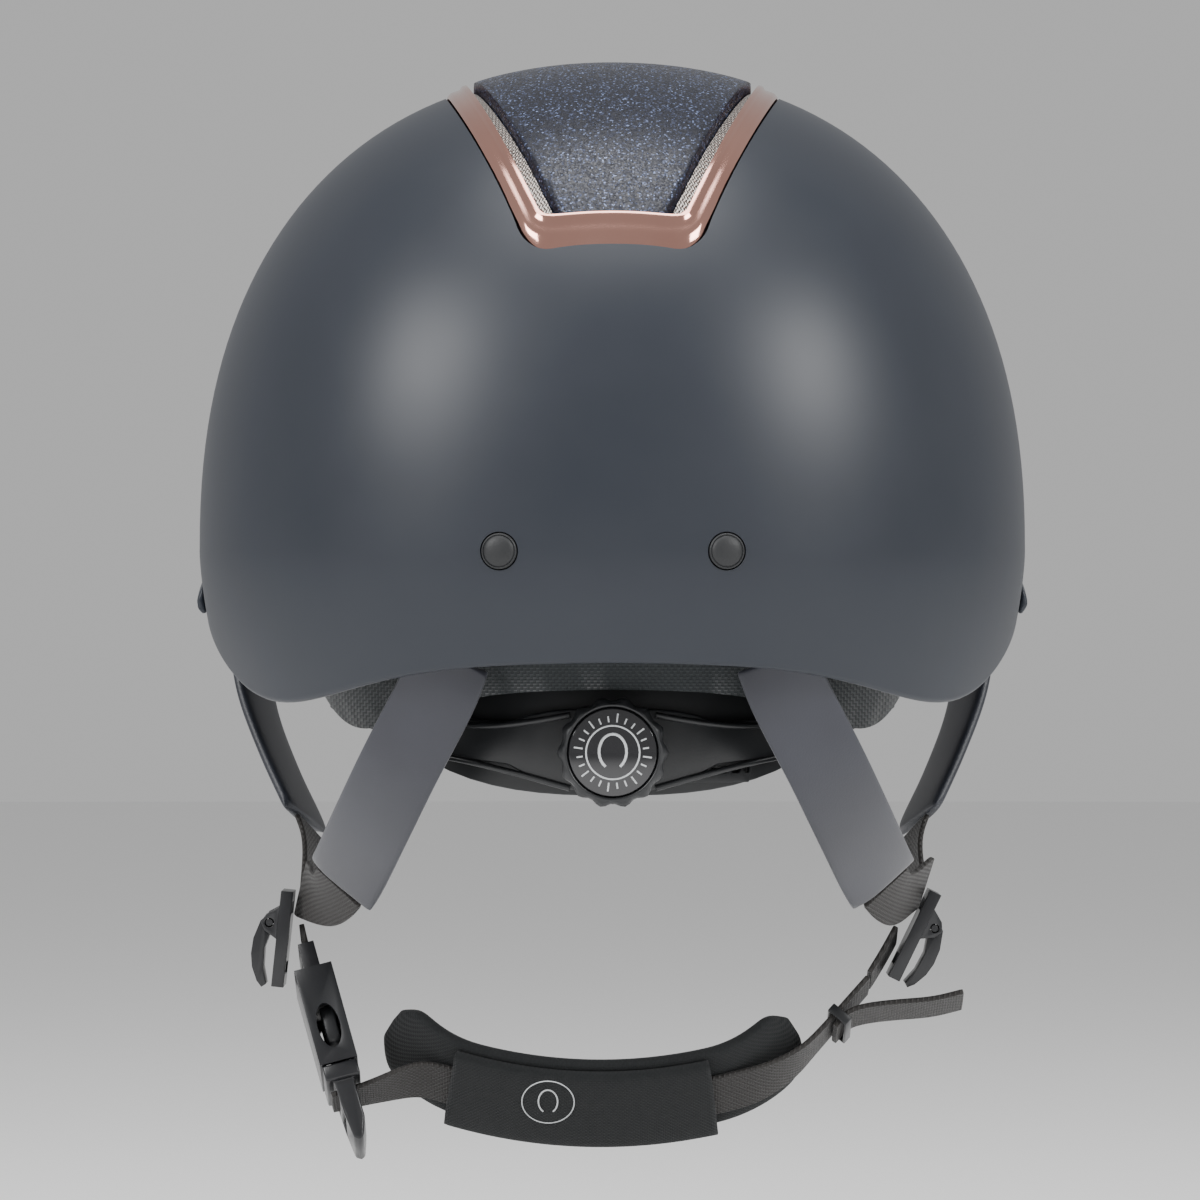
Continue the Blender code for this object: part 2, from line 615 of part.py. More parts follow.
def make_dial():
    """The scalloped knob with its cap, and the pinion on its shaft, on one axis."""
    axis = add_empty("dial_axis", (0, 0, DIAL_Z))
    count = KNOB_SCALLOPS * 5

    def ring(radius, y, depth=0.0):
        return [((radius + depth * cos(KNOB_SCALLOPS * t)) * cos(t), y,
                 (radius + depth * cos(KNOB_SCALLOPS * t)) * sin(t))
                for t in (2 * pi * k / count for k in range(count))]

    bite = KNOB_BITE
    wide = KNOB_RADIUS - bite
    rings = [ring(wide * 0.93, KNOB_BACK, bite * 0.6), ring(wide, KNOB_BACK - 0.0014, bite),
             ring(wide, KNOB_FRONT + 0.0022, bite), ring(wide * 0.93, KNOB_FRONT + 0.0004, bite * 0.5),
             ring(CAP_RADIUS + 0.0008, KNOB_FRONT), ring(CAP_RADIUS + GAP, KNOB_FRONT + 0.0003),
             ring(CAP_RADIUS + GAP, KNOB_FRONT + 0.0020)]
    add_object("dial_knob", loft(rings), PLASTIC, 35, axis)
    cap = [(CAP_RADIUS, 0.0017), (CAP_RADIUS, 0.0002), (CAP_RADIUS * 0.93, -0.0005),
           (CAP_RADIUS * 0.6, -0.0010), (CAP_RADIUS * 0.2, -0.0012)]
    add_object("dial_cap", loft([[(x, KNOB_FRONT + y, z) for x, z in disc_outline(r, 36)]
                                 for r, y in cap]), GLOSS, 50, axis)
    far = CRADLE_CENTRE_Y - BAND_OUT
    near = far + BAND_WALL
    shaft = disc_outline(SHAFT_RADIUS, PINION_TEETH * 4)
    teeth = [(r * cos(t), r * sin(t)) for r, t in pinion_outline()]
    bm = loft([[(x, KNOB_BACK + GAP, z) for x, z in shaft], [(x, far, z) for x, z in shaft],
               [(x, far, z) for x, z in teeth], [(x, near, z) for x, z in teeth]])
    add_object("dial_pinion", bm, PLASTIC, None, axis)


def pinion_outline():
    """Four points for each tooth: up one flank, over the tip and down the other."""
    pitch = 2 * pi / PINION_TEETH
    root, tip = PINION_PITCH - TOOTH_HEIGHT * 0.6, PINION_PITCH + TOOTH_HEIGHT * 0.45
    points = []
    for k in range(PINION_TEETH):
        middle = k * pitch + pi / 2
        points += [(root, middle - pitch * 0.24), (tip, middle - pitch * 0.06),
                   (tip, middle + pitch * 0.06), (root, middle + pitch * 0.24)]
    return points


def make_bands():
    """The two size bands. Each turns about the shared arc's upright axis, pulled by the pinion."""
    spine = PINION_PITCH + TOOTH_HEIGHT * 0.75
    pitch = degrees(2 * pi / PINION_TEETH * PINION_PITCH / BAND_MIDDLE)
    for side, word in ((-1, "left"), (1, "right")):
        lane = -side                         # the left band runs above the pinion
        sections = []

        def station(angle, low, high):
            z = [DIAL_Z + lane * low, DIAL_Z + lane * high]
            sections.append([arc_point(side * angle, BAND_OUT, z[0]),
                             arc_point(side * angle, BAND_OUT, z[1]),
                             arc_point(side * angle, BAND_IN, z[1]),
                             arc_point(side * angle, BAND_IN, z[0])])

        first = -int(BAND_TAIL / pitch)
        last = int((BAND_WIDE_AT - 3) / pitch)
        for tooth in range(first, last + 1):
            middle = (tooth + (0.5 if PINION_TEETH % 2 == 0 else 0.0)) * pitch
            for share, low in ((-0.24, spine), (-0.06, spine - TOOTH_HEIGHT),
                               (0.06, spine - TOOTH_HEIGHT), (0.24, spine)):
                station(middle + share * pitch, low, spine + RACK_BACK)
        station(BAND_WIDE_AT - 1.5, spine, spine + RACK_BACK)
        for angle in steps(BAND_WIDE_AT, BAND_END, 9):
            beyond = max(angle - CRADLE_REACH, 0) / (BAND_END - CRADLE_REACH)
            rise = lane * (arm_centre(angle) - DIAL_Z + BAND_LIFT * beyond ** 0.5)
            station(angle, rise - BAND_HEIGHT / 2, rise + BAND_HEIGHT / 2)
        shift = Matrix.Translation((0, CRADLE_CENTRE_Y, 0))
        axis = add_empty(f"size_band_axis_{word}", matrix=shift)
        local = [[p - shift.translation for p in section] for section in sections]
        add_object(f"size_band_{word}", loft(local), PLASTIC, 40, axis)


make_cradle()
make_dial()
make_bands()


# ---------------------------------------------------------------- straps
def catmull(points, t):
    """A smooth curve through hand-placed points; t runs from 0 to the last point's index."""
    k = min(int(t), len(points) - 2)
    u = t - k
    p1, p2 = Vector(points[k]), Vector(points[k + 1])
    p0 = Vector(points[k - 1]) if k else 2 * p1 - p2
    p3 = Vector(points[k + 2]) if k + 2 < len(points) else 2 * p2 - p1
    return 0.5 * (2 * p1 + (p2 - p0) * u + (2 * p0 - 5 * p1 + 4 * p2 - p3) * u * u
                  + (3 * p1 - p0 - 3 * p2 + p3) * u ** 3)


def ribbon(centres, acrosses, width, wall, rounding=0.0):
    """A flat strip along a list of points, its width lying along the matching directions."""
    sections = []
    for k, centre in enumerate(centres):
        before, after = centres[max(k - 1, 0)], centres[min(k + 1, len(centres) - 1)]
        along = (after - before).normalized()
        across = (acrosses[k] - along * acrosses[k].dot(along)).normalized()
        out = along.cross(across)
        half, thick = width / 2, wall / 2
        if rounding:
            corners = [(-half, -thick + rounding), (-half + rounding, -thick),
                       (half - rounding, -thick), (half, -thick + rounding),
                       (half, thick - rounding), (half - rounding, thick),
                       (-half + rounding, thick), (-half, thick - rounding)]
        else:
            corners = [(-half, -thick), (half, -thick), (half, thick), (-half, thick)]
        sections.append([centre + across * a + out * b for a, b in corners])
    return loft(sections)


def strap(name, route, width, wall, paint, count, span=None, rounding=0.0):
    """A strap along a route of (place, width direction) pairs, over the given span of it."""
    places = [p for p, _ in route]
    turns = [Vector(w).normalized() for _, w in route]
    first, last = span or (0, len(route) - 1)
    ts = steps(first, last, count)
    centres = [catmull(places, t) for t in ts]
    acrosses = [catmull(turns, t).normalized() for t in ts]
    add_object(name, ribbon(centres, acrosses, width, wall, rounding), paint, 40)
    return centres


DIVIDERS = {               # side: (across, height, degrees its foot leans out)
    -1: (0.0213 - HALF_WIDTH, LOOP_Z - 0.0010, 6.0),
    1: (HALF_WIDTH - 0.0290, LOOP_Z, -26.0),
}


def from_side(side, inward, forward, drop):
    """A point by its distance inside the shell's widest line, and below its widest level."""
    return (side * (HALF_WIDTH - inward), forward, WIDEST_Z - drop)


def rear_route(side):
    """From under the shell's back edge, outside the cradle, down and forward to the divider."""
    slot = divider_matrix(side) @ Vector((-0.0036, -0.0045, 0.0146))
    flat = divider_matrix(side).to_3x3() @ Vector((0, -0.3, -0.95))
    return [(from_side(side, 0.0670, -0.1010, 0.0271), (side * -0.98, 0, 0.15)),
            (from_side(side, 0.0630, -0.0975, 0.0370), (side * -0.90, 0, -0.40)),
            (from_side(side, 0.0540, -0.0860, 0.0540), (side * -0.90, 0, -0.42)),
            (from_side(side, 0.0460, -0.0660, 0.0700), (side * -0.86, 0, -0.50)),
            (from_side(side, 0.0385, -0.0380, 0.0845), (side * -0.80, -0.1, -0.60)),
            (from_side(side, 0.0330, -0.0190, 0.0900), (side * -0.45, -0.2, -0.85)),
            (tuple(slot), tuple(flat))]


def front_route(side):
    """From inside the shell at the temple, down and back to the divider."""
    slot = divider_matrix(side) @ Vector((-0.0034, 0.0060, 0.0118))
    across = (side * -0.34, 0.90, -0.25)
    flat = divider_matrix(side).to_3x3() @ Vector((0, 0.93, -0.35))
    return [(from_side(side, 0.0143, 0.0480, 0.0080), across),
            (from_side(side, 0.0113, 0.0450, 0.0230), across),
            (from_side(side, 0.0130, 0.0400, 0.0390), across),
            (from_side(side, 0.0195, 0.0330, 0.0560), across),
            (from_side(side, 0.0267, 0.0250, 0.0710), across),
            (from_side(side, 0.0280, 0.0190, 0.0795), (side * -0.20, 0.93, -0.30)),
            (tuple(slot), tuple(flat))]


# ---------------------------------------------------------------- dividers
def divider_matrix(side):
    """The divider's own frame: +X away from the head, +Y forward, +Z up its plate."""
    x, z, lean = DIVIDERS[side]
    turn = Matrix.Rotation(radians(-side * lean), 4, "Y")
    flip = Matrix.Diagonal((side, 1, 1, 1))
    return Matrix.Translation((x, LOOP_Y, z)) @ turn @ flip


def placed(bm, matrix):
    bmesh.ops.transform(bm, matrix=matrix, verts=bm.verts)
    return bm


def make_divider(side, word):
    """A cam-lock divider: a slotted plate with two ears, a hinge pin and a locking lever."""
    frame = divider_matrix(side)
    plate = box((-DIVIDER_HALF_WALL, -EAR_OUT, -DIVIDER_FOOT),
                (DIVIDER_HALF_WALL, EAR_OUT, DIVIDER_TOP))
    round_edges(plate, 0.0006)
    base = add_object(f"divider_base_{word}", placed(plate, frame), PLASTIC, 40)
    for low, high in ((EAR_IN, EAR_OUT - 0.0002), (-EAR_OUT + 0.0002, -EAR_IN)):
        ear = prism([(0.0, 0.0000), (PIN_OUT + 0.0010, PIN_UP - 0.0022),
                     (PIN_OUT + 0.0022, PIN_UP), (PIN_OUT + 0.0010, PIN_UP + 0.0022),
                     (0.0, 0.0105)], low, high, "Y")
        combine(base, placed(ear, frame), "UNION")
    reach = WEB_WIDTH / 2 + WEB_ROOM
    for middle in DIVIDER_SLOTS:
        slot = box((-0.004, -reach, middle - SLOT_HALF), (0.004, reach, middle + SLOT_HALF))
        combine(base, placed(slot, frame), "DIFFERENCE")
    hole = prism(disc_outline(PIN_RADIUS + GAP, 12, (PIN_OUT, PIN_UP)), -0.02, 0.02, "Y")
    combine(base, placed(hole, frame), "DIFFERENCE")
    pin = prism(disc_outline(PIN_RADIUS, 12, (PIN_OUT, PIN_UP)), -EAR_OUT, EAR_OUT, "Y")
    add_object(f"divider_pin_{word}", placed(pin, frame), PLASTIC, 50)

    outline = [(-0.0016, -0.0004), (-0.0015, 0.0008), (-0.0005, 0.0018), (0.0009, 0.0018),
               (0.0024, 0.0002), (0.0038, -0.0045), (0.0040, -0.0085), (0.0034, -0.0120),
               (0.0018, -0.0155), (0.0004, -0.0170), (-0.0006, -0.0162), (0.0006, -0.0120),
               (0.0008, -0.0070), (-0.0006, -0.0020)]
    lever = round_edges(prism(outline, -EAR_IN + GAP * 2, EAR_IN - GAP * 2, "Y"), 0.0003)
    hinge = frame @ Matrix.Translation((PIN_OUT, 0, PIN_UP))
    place = Matrix.Translation(hinge.translation)
    axis = add_empty(f"divider_lever_axis_{word}", matrix=place)
    local = place.inverted() @ hinge
    lever = add_object(f"divider_lever_{word}", placed(lever, local), PLASTIC, 40, axis)
    bore = prism(disc_outline(PIN_RADIUS + GAP, 12), -0.02, 0.02, "Y")
    combine(lever, placed(bore, local), "DIFFERENCE")


for hand, label in ((-1, "left"), (1, "right")):
    strap(f"rear_strap_{label}", rear_route(hand), STRAP_WIDTH, STRAP_WALL, LEATHER, 17,
          (0, 4.15), 0.0005)
    strap(f"rear_webbing_{label}", rear_route(hand), WEB_WIDTH, WEB_WALL, WEBBING, 9, (4.19, 6))
    strap(f"front_sleeve_{label}", front_route(hand), SLEEVE_WIDTH, SLEEVE_WALL, LEATHER, 15,
          (0, 4.0), 0.0011)
    strap(f"front_webbing_{label}", front_route(hand), WEB_WIDTH, WEB_WALL, WEBBING, 6, (4.12, 6))
    make_divider(hand, label)


# ---------------------------------------------------------------- the chin strap
def chin_matrix():
    """The hanging loop's own frame: +X to the wearer's right, +Y down the loop, +Z to the front."""
    lean = radians(LOOP_TILT)
    axes = Matrix(((1, 0, 0), (0, sin(lean), cos(lean)), (0, -cos(lean), sin(lean)))).to_4x4()
    return Matrix.Translation((0, LOOP_Y, LOOP_Z)) @ axes


def from_opening(matrix):
    """A frame given in the loop's coordinates, as seen from the point where the strap opens."""
    return Matrix.Translation((*OPEN_AT, 0)).inverted() @ matrix


FRONT = Vector((0, 0, 1))                # towards the wearer's front, in the loop's frame
CHIN_CENTRE = Vector((CHIN_X, CHIN_DEPTH - CHIN_RADIUS, 0))
THREADED = ((0.0345 - HALF_WIDTH, 0.0450, 0.0), (0.0425 - HALF_WIDTH, 0.0428, 0.1),
            (0.0505 - HALF_WIDTH, 0.0403, 0.6))      # down from the buckle to the arc


def ray(angle, radius=1.0):
    """Direction from the chin arc's centre; the angle grows towards the wearer's right."""
    return Vector((sin(radians(angle)), cos(radians(angle)), 0)) * radius


def cone(angle, lean):
    """Width direction of a ribbon on the arc, leaning towards the arc's centre."""
    return Vector((0, 0, cos(radians(lean)))) - ray(angle) * sin(radians(lean))


def chin_path():
    """Centres and width directions of the chin webbing, from the male buckle to the right."""
    route = [(Vector((x, down, 0)), cone(-20, RIBBON_CONE * share)) for x, down, share in THREADED]
    route += [(CHIN_CENTRE + ray(a, CHIN_RADIUS), cone(a, RIBBON_CONE))
              for a in steps(-21, BEND_FROM, 11)]
    hub = CHIN_CENTRE + ray(BEND_FROM, CHIN_RADIUS - BEND_RADIUS)
    for angle in steps(BEND_FROM, BEND_TO, 6)[1:]:
        lean = RIBBON_CONE * (BEND_TO - angle) / (BEND_TO - BEND_FROM)
        route.append((hub + ray(angle, BEND_RADIUS), cone(angle, lean)))
    end = Vector((*OPEN_AT, 0))
    last = route[-1][0]
    for share in (0.25, 0.5, 0.75, 1.0):
        route.append((last + (end - last) * share, FRONT))
    return route


def buckle_matrix():
    """The buckle's frame in the loop: +Y runs down it, +Z to the front, X through its thickness."""
    turn = Matrix.Rotation(radians(-BUCKLE_LEAN), 4, "Z")
    return Matrix.Translation((*BUCKLE_TOP, 0)) @ turn


def make_female(parent):
    """The socket half of the side-release buckle, with its side windows and strap bar."""
    half, thick = BUCKLE_HALF_WIDTH, BUCKLE_HALF_THICK
    body = box((-thick, BAR_LENGTH, -half), (thick, FEMALE_LENGTH, half))
    round_edges(body, 0.0022, 3)
    female = add_object("buckle_female", placed(body, buckle_matrix()), PLASTIC, 40, parent)
    bar = box((-0.0021, 0.0, -half + 0.0022), (0.0021, BAR_LENGTH + 0.003, half - 0.0022))
    round_edges(bar, 0.0008)
    combine(female, placed(bar, buckle_matrix()), "UNION")
    reach = WEB_WIDTH / 2 + WEB_ROOM
    slot = box((-0.01, 0.0024, -reach), (0.01, 0.0050, reach))
    combine(female, placed(slot, buckle_matrix()), "DIFFERENCE")
    cavity = box((-CAVITY_THICK, FEMALE_LENGTH - CAVITY_DEPTH, -CAVITY_HALF),
                 (CAVITY_THICK, FEMALE_LENGTH + 0.005, CAVITY_HALF))
    combine(female, placed(cavity, buckle_matrix()), "DIFFERENCE")
    window = prism(disc_outline(WINDOW_HALF_THICK, 20, (0, WINDOW_AT),
                                WINDOW_HALF_LENGTH / WINDOW_HALF_THICK), -0.02, 0.02)
    combine(female, placed(window, buckle_matrix()), "DIFFERENCE")


def make_male(parent, prong_parents):
    """The plug half: shoulder, strap bar and guide tongue, with a springy prong on each side."""
    half, thick = BUCKLE_HALF_WIDTH, BUCKLE_HALF_THICK
    frame = buckle_matrix()
    place = from_opening(frame)
    end = MALE_START + MALE_LENGTH
    body = round_edges(box((-thick + 0.0004, MALE_START, -half + 0.0004),
                           (thick - 0.0004, MALE_START + 0.0042, half - 0.0004)), 0.0012, 2)
    male = add_object("buckle_male", placed(body, place), PLASTIC, 40, parent)
    plate = prism([(-0.0026, MALE_START + 0.003), (0.0026, MALE_START + 0.003),
                   (0.0028, end - 0.006), (0.0012, end - 0.0008), (0.0, end),
                   (-0.0014, end - 0.001), (-0.0022, end - 0.008)],
                  -half + 0.0021, half - 0.0021)
    combine(male, placed(round_edges(plate, 0.0006), place), "UNION")
    tongue = round_edges(box((-0.0016, 0.0200, -0.0022), (0.0016, MALE_START + 0.002, 0.0022)),
                         0.0006)
    combine(male, placed(tongue, place), "UNION")
    for low, high in ((MALE_START + 0.0052, MALE_START + 0.0082),
                      (MALE_START + 0.0104, MALE_START + 0.0138)):
        reach = WEB_WIDTH / 2 + WEB_ROOM
        slot = box((-0.01, low, -reach), (0.01, high, reach))
        combine(male, placed(slot, place), "DIFFERENCE")
    for end_side, (word, axis) in zip((-1, 1), prong_parents):
        along, out = PRONG_ROOT
        outline = [(out - 0.0012, along), (out - 0.0013, 0.0255), (out - 0.0008, 0.0188),
                   (out + 0.0004, 0.0176), (out + 0.0012, 0.0190), (out + 0.0018, 0.0222),
                   (out + 0.0019, 0.0262), (out + 0.0015, 0.0277), (out + 0.0010, 0.0283),
                   (out + 0.0010, along)]
        bm = prism([(end_side * z, y) for z, y in outline], PRONG_FACES[0], PRONG_FACES[1])
        for vert in bm.verts:
            vert.co = Vector((vert.co.z, vert.co.y, vert.co.x))
        round_edges(bm, 0.0004)
        local = Matrix.Translation(-axis.location) @ place
        add_object(f"prong_{word}", placed(bm, local), PLASTIC, 40, axis)


def pad_path():
    """The chin pad's middle line: along the arc, then curling up at both ends."""
    inside = CHIN_RADIUS - WEB_WALL / 2 - GAP - PAD_THICK / 2
    route = [(CHIN_CENTRE + ray(a, inside), cone(a, RIBBON_CONE)) for a in steps(-15, 13, 11)]
    for sign, start in ((-1, -15), (1, 13)):
        hub = CHIN_CENTRE + ray(start, inside - WING_RADIUS)
        wing = [(hub + ray(start + sign * turn, WING_RADIUS), cone(start + sign * turn, RIBBON_CONE))
                for turn in steps(7, WING_TURN, 6)]
        route = list(reversed(wing)) + route if sign < 0 else route + wing
    return route


def make_chin_pad(parent):
    """The neoprene pad under the chin, with rounded ends, and the sleeve that holds it on."""
    sections = []
    route = pad_path()
    lengths = [0.0]
    for (a, _), (b, _) in zip(route, route[1:]):
        lengths.append(lengths[-1] + (b - a).length)
    corner = PAD_CORNER
    for k, (centre, across) in enumerate(route):
        before, after = route[max(k - 1, 0)][0], route[min(k + 1, len(route) - 1)][0]
        along = (after - before).normalized()
        out = along.cross(across).normalized()
        reach = max(corner - min(lengths[k], lengths[-1] - lengths[k]), 0)
        half = PAD_WIDTH / 2 - corner + sqrt(max(corner ** 2 - reach ** 2, 0)) + 0.0004
        thick = PAD_THICK / 2 * (0.55 if reach > corner * 0.9 else 1.0)
        edge = 0.0009
        corners = [(-half, -thick + edge), (-half + edge, -thick), (half - edge, -thick),
                   (half, -thick + edge), (half, thick - edge), (half - edge, thick),
                   (-half + edge, thick), (-half, thick - edge)]
        sections.append([centre - CHIN_CENTRE + across * a + out * b for a, b in corners])
    add_object("chin_pad", loft(sections), NEOPRENE, 50, parent)
    inner, outer = WEB_WALL / 2 + GAP, WEB_WALL / 2 + GAP + 0.0014
    foot = -WEB_WALL / 2
    half, slot = PAD_WIDTH / 2, WEB_WIDTH / 2 + 2 * GAP
    profile = [(-half, foot), (-slot, foot), (-slot, inner), (slot, inner), (slot, foot),
               (half, foot), (half, outer - 0.0008), (half - 0.0014, outer),
               (-half + 0.0014, outer), (-half, outer - 0.0008)]
    sections = []
    for angle in steps(SLEEVE_FROM, SLEEVE_TO, 12):
        across, out = cone(angle, RIBBON_CONE), ray(angle)
        out = (out - across * out.dot(across)).normalized()
        middle = CHIN_CENTRE + ray(angle, CHIN_RADIUS)
        sections.append([middle - CHIN_CENTRE + across * a + out * b for a, b in profile])
    add_object("chin_pad_sleeve", loft(sections), NEOPRENE, 50, parent)


def make_keeper(parent, route):
    """The loop that holds the free tail against the strap. It slides along the straight part."""
    bend_end, end = route[-5][0], route[-1][0]
    along = (end - bend_end).normalized()
    middle = bend_end + along * KEEPER_AT
    out = Vector((0, 0, 1)).cross(along)
    frame = Matrix((along, out, Vector((0, 0, 1)))).transposed().to_4x4()
    axis = add_empty("keeper_axis", tuple(middle), parent=parent)
    low, high = -0.0012, 0.0036                  # room for the strap and its folded-back tail
    reach = WEB_WIDTH / 2 + WEB_ROOM
    wall = KEEPER_WALL
    body = box((-KEEPER_HALF, low - wall, -reach - wall), (KEEPER_HALF, high + wall, reach + wall))
    keeper = add_object("strap_keeper", placed(round_edges(body, 0.0004), frame), PLASTIC, 40, axis)
    combine(keeper, placed(box((-0.01, low, -reach), (0.01, high, reach)), frame), "DIFFERENCE")
    return middle, along, out


def make_chin_strap():
    loop = add_empty("chin_loop_axis", matrix=chin_matrix())
    top_x, top_down = BUCKLE_TOP
    tab = [(Vector((top_x - 0.0012, top_down - 0.0059, 0)), FRONT),
           (Vector((top_x - 0.0006, top_down - 0.0032, 0)), FRONT),
           (Vector((top_x + 0.0001, top_down - 0.0004, 0)), FRONT)]
    make_strip("buckle_tab", tab, loop, WEB_WALL)
    make_female(loop)
    end = Vector((*OPEN_AT, 0))
    tab = [(end + Vector((0.0072, -0.0135, 0)), FRONT), (end + Vector((0.0035, -0.0065, 0)), FRONT),
           (end - Vector((0, 0.0008, 0)), FRONT)]
    make_strip("strap_tab_right", tab, loop, WEB_WALL)
    opening = add_empty("strap_opening_axis", OPEN_AT + (0,), parent=loop)
    shift = from_opening(Matrix.Identity(4))
    route = [(shift @ p, w) for p, w in chin_path()]
    make_strip("chin_webbing", route, opening, WEB_WALL)
    middle, along, out = make_keeper(opening, route)
    tail = [middle + along * -0.0030 + out * 0.0021, middle + along * 0.0022 + out * 0.0022,
            Vector((-0.0005, 0.0082, 0)), Vector((0.0075, 0.0072, 0)),
            Vector((0.0165, 0.0064, 0)), Vector((0.0245, 0.0044, 0))]
    curve = [catmull(tail, t) for t in steps(0, 5, 13)]
    make_strip("chin_tail", [(p, FRONT) for p in curve], opening, WEB_WALL)
    pad_axis = add_empty("chin_pad_axis", tuple(shift @ CHIN_CENTRE), parent=opening)
    make_chin_pad(pad_axis)
    prongs = []
    for sign, word in ((-1, "rear"), (1, "front")):
        along, out_from = PRONG_ROOT
        root = shift @ buckle_matrix() @ Vector((0, along, sign * out_from))
        prongs.append((word, add_empty(f"prong_axis_{word}", tuple(root), parent=opening)))
    make_male(opening, prongs)


def make_strip(name, route, parent, wall):
    bm = ribbon([p for p, _ in route], [w for _, w in route], WEB_WIDTH, wall)
    add_object(name, bm, WEBBING, 40, parent)


make_chin_strap()
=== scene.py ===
"""The looks of an equestrian riding helmet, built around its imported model.

Metres. +Z is up, +Y is the wearer's forward direction and +X the wearer's right.
"""

from math import atan2, cos, pi, radians, sin, sqrt

import bmesh
import bpy
from mathutils import Matrix, Vector
from mathutils.bvhtree import BVHTree


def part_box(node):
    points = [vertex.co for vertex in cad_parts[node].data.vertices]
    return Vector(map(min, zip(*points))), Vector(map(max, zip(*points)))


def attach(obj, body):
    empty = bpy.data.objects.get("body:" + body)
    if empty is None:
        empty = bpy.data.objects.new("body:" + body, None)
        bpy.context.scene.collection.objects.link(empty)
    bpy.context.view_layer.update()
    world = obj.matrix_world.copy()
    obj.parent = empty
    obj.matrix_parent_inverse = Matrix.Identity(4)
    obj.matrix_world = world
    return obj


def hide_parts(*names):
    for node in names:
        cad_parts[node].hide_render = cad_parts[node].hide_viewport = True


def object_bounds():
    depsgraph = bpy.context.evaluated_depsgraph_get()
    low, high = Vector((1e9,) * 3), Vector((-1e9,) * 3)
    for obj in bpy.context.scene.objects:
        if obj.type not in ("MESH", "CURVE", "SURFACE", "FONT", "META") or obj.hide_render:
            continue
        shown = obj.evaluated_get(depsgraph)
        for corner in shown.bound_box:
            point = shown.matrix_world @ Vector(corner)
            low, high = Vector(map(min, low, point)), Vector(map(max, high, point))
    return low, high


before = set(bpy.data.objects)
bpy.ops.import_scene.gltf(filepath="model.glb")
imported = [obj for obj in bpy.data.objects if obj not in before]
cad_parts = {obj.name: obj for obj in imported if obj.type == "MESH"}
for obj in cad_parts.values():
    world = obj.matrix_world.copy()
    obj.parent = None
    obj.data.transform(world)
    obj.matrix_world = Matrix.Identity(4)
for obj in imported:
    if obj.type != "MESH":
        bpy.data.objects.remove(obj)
cad_low, cad_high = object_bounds()


# ---------------------------------------------------------------- camera, floor and lights
# A long lens straight behind the helmet, at half its height, over a pale floor. Two broad
# soft boxes stand high on each side and a third one is overhead.
VIEW_WIDTH = 0.3093
CAMERA_DISTANCE = 2.2
CAMERA_AT = Vector((-0.0032, -CAMERA_DISTANCE, -0.1075))
SENSOR = 36.0
NEAR_SIDE = 0.03                 # the silhouette stands this far in front of the frame's origin
FLOOR_DROP = 0.05
WORLD_LIGHT = 0.5
PALE = (0.9, 0.9, 0.9)

camera_data = bpy.data.cameras.new("camera")
camera_data.sensor_width = SENSOR
camera_data.lens = SENSOR * (CAMERA_DISTANCE - NEAR_SIDE) / VIEW_WIDTH
camera = bpy.data.objects.new("camera", camera_data)
camera.location = CAMERA_AT
camera.rotation_euler = (radians(90), 0, 0)
bpy.context.scene.collection.objects.link(camera)
bpy.context.scene.camera = camera

floor_mesh = bpy.data.meshes.new("floor")
bm = bmesh.new()
bmesh.ops.create_circle(bm, cap_ends=True, segments=96, radius=6.0)
bmesh.ops.translate(bm, verts=bm.verts, vec=(0, 0, cad_low[2] - FLOOR_DROP))
bm.to_mesh(floor_mesh)
bm.free()
floor = bpy.data.objects.new("floor", floor_mesh)
bpy.context.scene.collection.objects.link(floor)
floor_paint = bpy.data.materials.new("white_floor")
floor_paint.use_nodes = True
floor_paint.node_tree.nodes["Principled BSDF"].inputs["Base Color"].default_value = (*PALE, 1)
floor_paint.node_tree.nodes["Principled BSDF"].inputs["Roughness"].default_value = 0.9
floor_mesh.materials.append(floor_paint)

world = bpy.data.worlds.new("white_room")
world.use_nodes = True
world.node_tree.nodes["Background"].inputs["Color"].default_value = (1, 1, 1, 1)
world.node_tree.nodes["Background"].inputs["Strength"].default_value = WORLD_LIGHT
bpy.context.scene.world = world

for label, place, width, power in (
        ("left_box", (-1.1, -0.9, 0.75), 0.7, 20),
        ("right_box", (1.1, -0.8, 0.65), 0.6, 16),
        ("top_box", (0.0, -0.2, 1.3), 0.8, 14)):
    light_data = bpy.data.lights.new(label, "AREA")
    light_data.size = width
    light_data.energy = power
    light = bpy.data.objects.new(label, light_data)
    light.location = place
    light.rotation_euler = (Vector((0, 0, -0.05)) - Vector(place)).to_track_quat("-Z", "Y").to_euler()
    bpy.context.scene.collection.objects.link(light)


# ---------------------------------------------------------------- outer shell
# One moulded ABS cap, 3 mm thick, sprayed with a soft matte navy paint. Its lower edge dips
# behind each ear and is rounded; the crown has a long opening for the vent frame.
HALF_WIDTH = 0.1075
REAR_LENGTH = 0.122
FRONT_LENGTH = 0.130
DOME_HEIGHT = 0.125
WIDEST_Z = -0.095
DOME_POWER = 2.3
TUCK = 0.058
TUCK_DEPTH = 0.036
SHELL_WALL = 0.003
RIM_ROUND = 0.0013
TURNS = 192


def shader_group(name, inputs, outputs):
    """An empty node group with named sockets, and its input and output nodes."""
    group = bpy.data.node_groups.new(name, "ShaderNodeTree")
    for label, kind, value in inputs:
        socket = group.interface.new_socket(label, in_out="INPUT", socket_type=kind)
        if value is not None:
            socket.default_value = value
    for label, kind in outputs:
        group.interface.new_socket(label, in_out="OUTPUT", socket_type=kind)
    return group, group.nodes.new("NodeGroupInput"), group.nodes.new("NodeGroupOutput")


